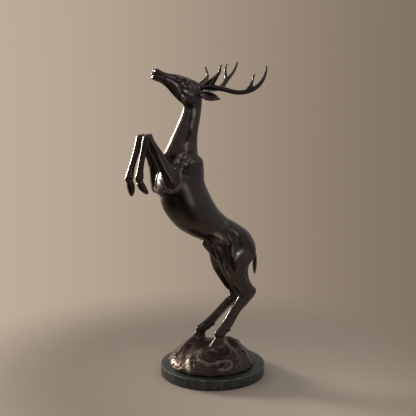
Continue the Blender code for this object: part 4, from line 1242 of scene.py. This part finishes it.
class StageSettings(bpy.types.PropertyGroup):
    floor: FloatVectorProperty(
        name="Floor", description="The plain pale floor", subtype="COLOR", default=srgb("#C4B8AA")
    )
    window: FloatProperty(
        name="Window light", description="Power of the narrow light on the left, in watts",
        default=2.2, min=0,
    )
    fill: FloatProperty(
        name="Fill light", description="Power of the wide light on the left, in watts", default=2, min=0
    )
    sheen: FloatProperty(
        name="Sheen light", description="Power of the high light in front, in watts", default=1.6, min=0
    )


# The operators, one for each piece and one for the stage.


def take_name(obj, name):
    obj.name = name
    obj.data.name = name
    return obj


class STAG_OT_cast_figure(bpy.types.Operator):
    """Models the stag and its rock, and pours them as one bronze"""

    bl_idname = "stag.cast_figure"
    bl_label = "Cast the stag on its rock"

    def execute(self, context):
        settings = context.scene.stag_casting
        bpy.ops.object.select_all(action="DESELECT")
        bm = bmesh.new()
        for add in (
            add_trunk, add_neck, add_head, add_ears, add_antlers,
            add_forelegs, add_hind_legs, add_tail, add_sheath, add_rock,
        ):
            add(bm)
        bmesh.ops.recalc_face_normals(bm, faces=bm.faces)
        mesh = bpy.data.meshes.new("stag_casting")
        bm.to_mesh(mesh)
        bm.free()
        figure = bpy.data.objects.new("stag_casting", mesh)
        context.scene.collection.objects.link(figure)
        context.view_layer.objects.active = figure
        figure.select_set(True)
        cast = figure.modifiers.new("cast", "REMESH")
        cast.mode = "VOXEL"
        cast.voxel_size = settings.grain
        bpy.ops.object.modifier_apply(modifier=cast.name)
        mesh = figure.data
        fill_creases(mesh, round(FILL_ROUNDS / settings.grain**2))
        work_surface(mesh)
        refine_head(mesh)
        work_face(mesh)
        groove_tines(mesh)
        rough_out(mesh, settings.relief)
        mark_wear(mesh, round(WEAR_ROUNDS / settings.grain**2))
        mark_patina(mesh)
        mesh.calc_loop_triangles()
        if len(mesh.loop_triangles) > settings.triangles:
            thin = figure.modifiers.new("thin", "DECIMATE")
            thin.ratio = settings.triangles / len(mesh.loop_triangles)
            bpy.ops.object.modifier_apply(modifier=thin.name)
            mesh = figure.data
        fit_to_node(mesh)
        bpy.ops.object.shade_smooth()
        mesh.materials.clear()
        mesh.materials.append(patinated_bronze(settings))
        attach(figure, "root")
        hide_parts("stag_on_rock")
        return {"FINISHED"}


class STAG_OT_turn_slab(bpy.types.Operator):
    """Turns the round marble slab, eases its edges and knocks small chips out of them"""

    bl_idname = "stag.turn_slab"
    bl_label = "Turn the marble slab"

    def execute(self, context):
        settings = context.scene.stag_slab
        radius = (SLAB_HIGH.x - SLAB_LOW.x) / 2
        thickness = SLAB_HIGH.z - SLAB_LOW.z
        bpy.ops.object.select_all(action="DESELECT")
        bpy.ops.mesh.primitive_cylinder_add(
            vertices=288, radius=radius, depth=thickness, end_fill_type="NGON",
            location=(0, 0, SLAB_LOW.z + thickness / 2),
        )
        slab = take_name(context.active_object, "marble_slab")
        bpy.ops.object.transform_apply(location=True, rotation=True, scale=True)
        bpy.ops.object.mode_set(mode="EDIT")
        bm = bmesh.from_edit_mesh(slab.data)
        bpy.ops.mesh.select_all(action="DESELECT")
        for edge in bm.edges:
            edge.select_set(abs(edge.verts[0].co.z - edge.verts[1].co.z) < thickness / 2)
        bmesh.update_edit_mesh(slab.data)
        bpy.ops.mesh.bevel(offset=settings.arris, segments=3, affect="EDGES")
        bpy.ops.object.mode_set(mode="OBJECT")
        chip_edges(slab.data, radius)
        bpy.ops.object.shade_smooth_by_angle(angle=math.radians(30))
        slab.data.materials.append(honed_marble(settings))
        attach(slab, "root")
        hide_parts("marble_base")
        return {"FINISHED"}


CHIPS_PER_EDGE = 26


def chip_edges(mesh, radius):
    """Small chips along both turned edges, a few tenths of a millimetre deep, at places drawn by lot."""
    luck = np.random.default_rng(8)
    places = read_places(mesh)
    turn = np.arctan2(places[:, 1], places[:, 0])
    middle = (SLAB_LOW.z + SLAB_HIGH.z) / 2
    for end in (-1, 1):
        near_edge = (end * (places[:, 2] - middle) > 0) & (np.abs(places[:, 2] - middle) < 9.9 * MM)
        for _ in range(CHIPS_PER_EDGE):
            at = luck.uniform(-math.pi, math.pi)
            wide = luck.uniform(0.01, 0.035)
            deep = luck.uniform(0.1, 0.45) * MM
            off = (turn - at + math.pi) % (2 * math.pi) - math.pi
            cut = deep * np.exp(-((off / wide) ** 2)) * near_edge
            places[:, :2] *= (1 - cut / radius)[:, None]
    write_places(mesh, places)


FLOOR_RADIUS = 0.65

# The photograph's view: focal length and the slab's centre in pixels of a 416 pixel frame.
FRAME_PIXELS = 416
FOCAL_PIXELS = 889
VIEW_AZIMUTH = math.radians(-25.0)
VIEW_PITCH = math.radians(10.6)
VIEW_DISTANCE = 1.726
SLAB_PIXEL = (212.7, 361.7)
SENSOR_WIDTH = 36


def view_directions():
    """The camera's right, up and forward directions."""
    level = Vector((-math.sin(VIEW_AZIMUTH), math.cos(VIEW_AZIMUTH), 0))
    right = Vector((math.cos(VIEW_AZIMUTH), math.sin(VIEW_AZIMUTH), 0))
    forward = level * math.cos(VIEW_PITCH) - Vector((0, 0, math.sin(VIEW_PITCH)))
    return right, right.cross(forward), forward


def room_direction(turn, rise):
    """A direction by degrees round from the viewer, to the right, and degrees above level."""
    right, _, forward = view_directions()
    back = -Vector((forward.x, forward.y, 0)).normalized()
    turn, rise = math.radians(turn), math.radians(rise)
    level = right * math.sin(turn) + back * math.cos(turn)
    return level * math.cos(rise) + Vector((0, 0, math.sin(rise)))


def soft_box(name, turn, rise, distance, width, height, spread, power, colour, aim):
    """A rectangular studio light that looks at the aim, with its beam held in to the spread in degrees."""
    place = aim + room_direction(turn, rise) * distance
    bpy.ops.object.light_add(type="AREA", location=place)
    lamp = take_name(bpy.context.active_object, name)
    lamp.rotation_euler = (aim - place).to_track_quat("-Z", "Y").to_euler()
    lamp.data.shape = "RECTANGLE"
    lamp.data.size, lamp.data.size_y = width, height
    lamp.data.spread = math.radians(spread)
    lamp.data.energy = power
    lamp.data.color = srgb(colour)
    lamp.visible_camera = False


# Soft patches of light around the room: (turn, rise, inner angle, outer angle, colour, strength).
ROOM_LIGHTS = [
    (-132, 18, 10, 50, "#F6E8D6", 0.4),
    (-84, 28, 6, 34, "#FFF6EA", 0.25),
    (88, 4, 20, 68, "#DCE4F0", 0.1),
]
# A darker part of the room, below and in front of the stag.
ROOM_SHADE = (-28, -28, 14, 52, "#262220", 0.9)
ROOM_BELOW = "#77716E"
ROOM_ABOVE = "#8E8A88"
# The backdrop's tones, lighter on the left and darker on the right: painted shading of the light falling
# from the left.
BACKDROP_LIT_LEFT = "#C0AE9B"
BACKDROP_SHADED_RIGHT = "#7E7062"


def light_room(scene):
    """A dim warm room with soft patches of light, and a pale backdrop that only the camera sees, painted
    lighter on the left and darker on the right as painted shading.
    """
    world = bpy.data.worlds.new("studio")
    scene.world = world
    world.use_nodes = True
    tree = world.node_tree
    tree.nodes.clear()
    way = add_node(tree, "TexCoord").outputs["Generated"]
    rise = add_node(tree, "SeparateXYZ", {"Vector": way}).outputs["Z"]
    above = add_node(
        tree, "MapRange", {"Value": rise, "From Min": -0.12, "From Max": 0.22},
        interpolation_type="SMOOTHSTEP",
    )
    light = add_node(
        tree, "Mix", {"Factor": above, "A": seen(ROOM_BELOW), "B": seen(ROOM_ABOVE)}, data_type="RGBA"
    )
    for number, (turn, rise, inner, outer, colour, strength) in enumerate([ROOM_SHADE, *ROOM_LIGHTS]):
        centre = room_direction(turn, rise)
        along = add_node(tree, "VectorMath", {0: way, 1: centre}, operation="DOT_PRODUCT")
        edge, heart = math.cos(math.radians(outer)), math.cos(math.radians(inner))
        patch = add_node(
            tree, "MapRange", {"Value": along, "From Min": edge, "From Max": heart, "To Max": strength},
            interpolation_type="SMOOTHSTEP",
        )
        light = add_node(
            tree, "Mix", {"Factor": patch, "A": light, "B": seen(colour)}, data_type="RGBA",
            blend_type="ADD" if number else "MIX",
        )
    room = add_node(tree, "Background", {"Color": light, "Strength": 1.0})
    # Painted shading: the backdrop goes from the lighter tone on the left to the darker one on the right.
    across = add_node(tree, "VectorMath", {0: way, 1: view_directions()[0]}, operation="DOT_PRODUCT")
    share = add_node(
        tree, "MapRange", {"Value": across, "From Min": -0.3, "From Max": 0.3},
        interpolation_type="SMOOTHSTEP",
    )
    tone = add_node(
        tree, "Mix", {"Factor": share, "A": seen(BACKDROP_LIT_LEFT), "B": seen(BACKDROP_SHADED_RIGHT)},
        data_type="RGBA",
    )
    backdrop = add_node(tree, "Background", {"Color": tone, "Strength": 1.0})
    to_camera = add_node(tree, "LightPath").outputs["Is Camera Ray"]
    both = add_node(tree, "MixShader", {"Fac": to_camera, 1: room, 2: backdrop})
    add_node(tree, "OutputWorld", {"Surface": both})


def pale_floor(settings):
    """Plain matt plaster that fades out, so that the floor meets the backdrop without an edge."""
    made, tree = new_material("plain_pale_floor")
    place = add_node(tree, "TexCoord").outputs["Object"]
    out = add_node(tree, "VectorMath", {0: place}, operation="LENGTH")
    fade = add_node(
        tree, "MapRange", {"Value": out, "From Min": 0.24, "From Max": 0.62},
        interpolation_type="SMOOTHSTEP",
    )
    plaster = add_node(tree, "BsdfPrincipled", {"Base Color": (*settings.floor, 1), "Roughness": 0.9})
    clear = add_node(tree, "BsdfTransparent")
    both = add_node(tree, "MixShader", {"Fac": fade, 1: plaster, 2: clear})
    add_node(tree, "OutputMaterial", {"Surface": both})
    return made


class STAG_OT_set_stage(bpy.types.Operator):
    """Lays the plain floor, sets the soft lights and places the camera as the photograph's was"""

    bl_idname = "stag.set_stage"
    bl_label = "Set the stage"

    def execute(self, context):
        settings = context.scene.stag_stage
        bpy.ops.object.select_all(action="DESELECT")
        bpy.ops.mesh.primitive_circle_add(
            vertices=96, radius=FLOOR_RADIUS, fill_type="NGON", location=(0, 0, SLAB_LOW.z)
        )
        floor = take_name(context.active_object, "floor")
        bpy.ops.object.transform_apply(location=True, rotation=True, scale=True)
        floor.data.materials.append(pale_floor(settings))
        light_room(context.scene)
        aim, upper_aim = Vector((0, 0, 0.3)), Vector((-0.08, 0, 0.44))
        soft_box("window_light", -122, 12, 1.3, 0.42, 0.6, 26, settings.window, "#FFF3E4", upper_aim)
        soft_box("fill_light", -122, 12, 1.3, 1.1, 1.3, 180, settings.fill, "#FFF1E0", aim)
        soft_box("sheen_light", 40, 44, 1.4, 0.6, 0.6, 180, settings.sheen, "#F2F4FA", aim)
        right, up, forward = view_directions()
        middle = FRAME_PIXELS / 2
        slab_top = Vector((0, 0, SLAB_HIGH.z))
        camera_data = bpy.data.cameras.new("camera")
        camera = bpy.data.objects.new("camera", camera_data)
        context.scene.collection.objects.link(camera)
        camera.location = (
            slab_top - forward * VIEW_DISTANCE
            - right * (SLAB_PIXEL[0] - middle) / FOCAL_PIXELS * VIEW_DISTANCE
            + up * (SLAB_PIXEL[1] - middle) / FOCAL_PIXELS * VIEW_DISTANCE
        )
        camera.rotation_euler = Matrix((right, up, -forward)).transposed().to_euler()
        camera_data.sensor_width = SENSOR_WIDTH
        camera_data.lens = SENSOR_WIDTH * FOCAL_PIXELS / FRAME_PIXELS
        camera_data.clip_start = 0.05
        context.scene.camera = camera
        context.scene.view_settings.view_transform = "Standard"
        return {"FINISHED"}


OPERATORS = (STAG_OT_cast_figure, STAG_OT_turn_slab, STAG_OT_set_stage)


class STAG_PT_workshop(bpy.types.Panel):
    """Lists the steps in order, with what each of them lets a user change"""

    bl_label = "Bronze Stag"
    bl_idname = "STAG_PT_workshop"
    bl_space_type = "VIEW_3D"
    bl_region_type = "UI"
    bl_category = "Stag"

    def draw(self, context):
        scene = context.scene
        for operator, settings in zip(OPERATORS, (scene.stag_casting, scene.stag_slab, scene.stag_stage)):
            box = self.layout.box()
            box.operator(operator.bl_idname)
            for name in settings.bl_rna.properties.keys():
                if name not in ("rna_type", "name"):
                    box.prop(settings, name)


CLASSES = (CastingSettings, SlabSettings, StageSettings, *OPERATORS, STAG_PT_workshop)


def register():
    for item in CLASSES:
        bpy.utils.register_class(item)
    bpy.types.Scene.stag_casting = PointerProperty(type=CastingSettings)
    bpy.types.Scene.stag_slab = PointerProperty(type=SlabSettings)
    bpy.types.Scene.stag_stage = PointerProperty(type=StageSettings)


def unregister():
    for name in ("stag_casting", "stag_slab", "stag_stage"):
        delattr(bpy.types.Scene, name)
    for item in reversed(CLASSES):
        bpy.utils.unregister_class(item)


def main():
    register()
    bpy.ops.stag.cast_figure()
    bpy.ops.stag.turn_slab()
    bpy.ops.stag.set_stage()


if __name__ == "__main__":
    main()
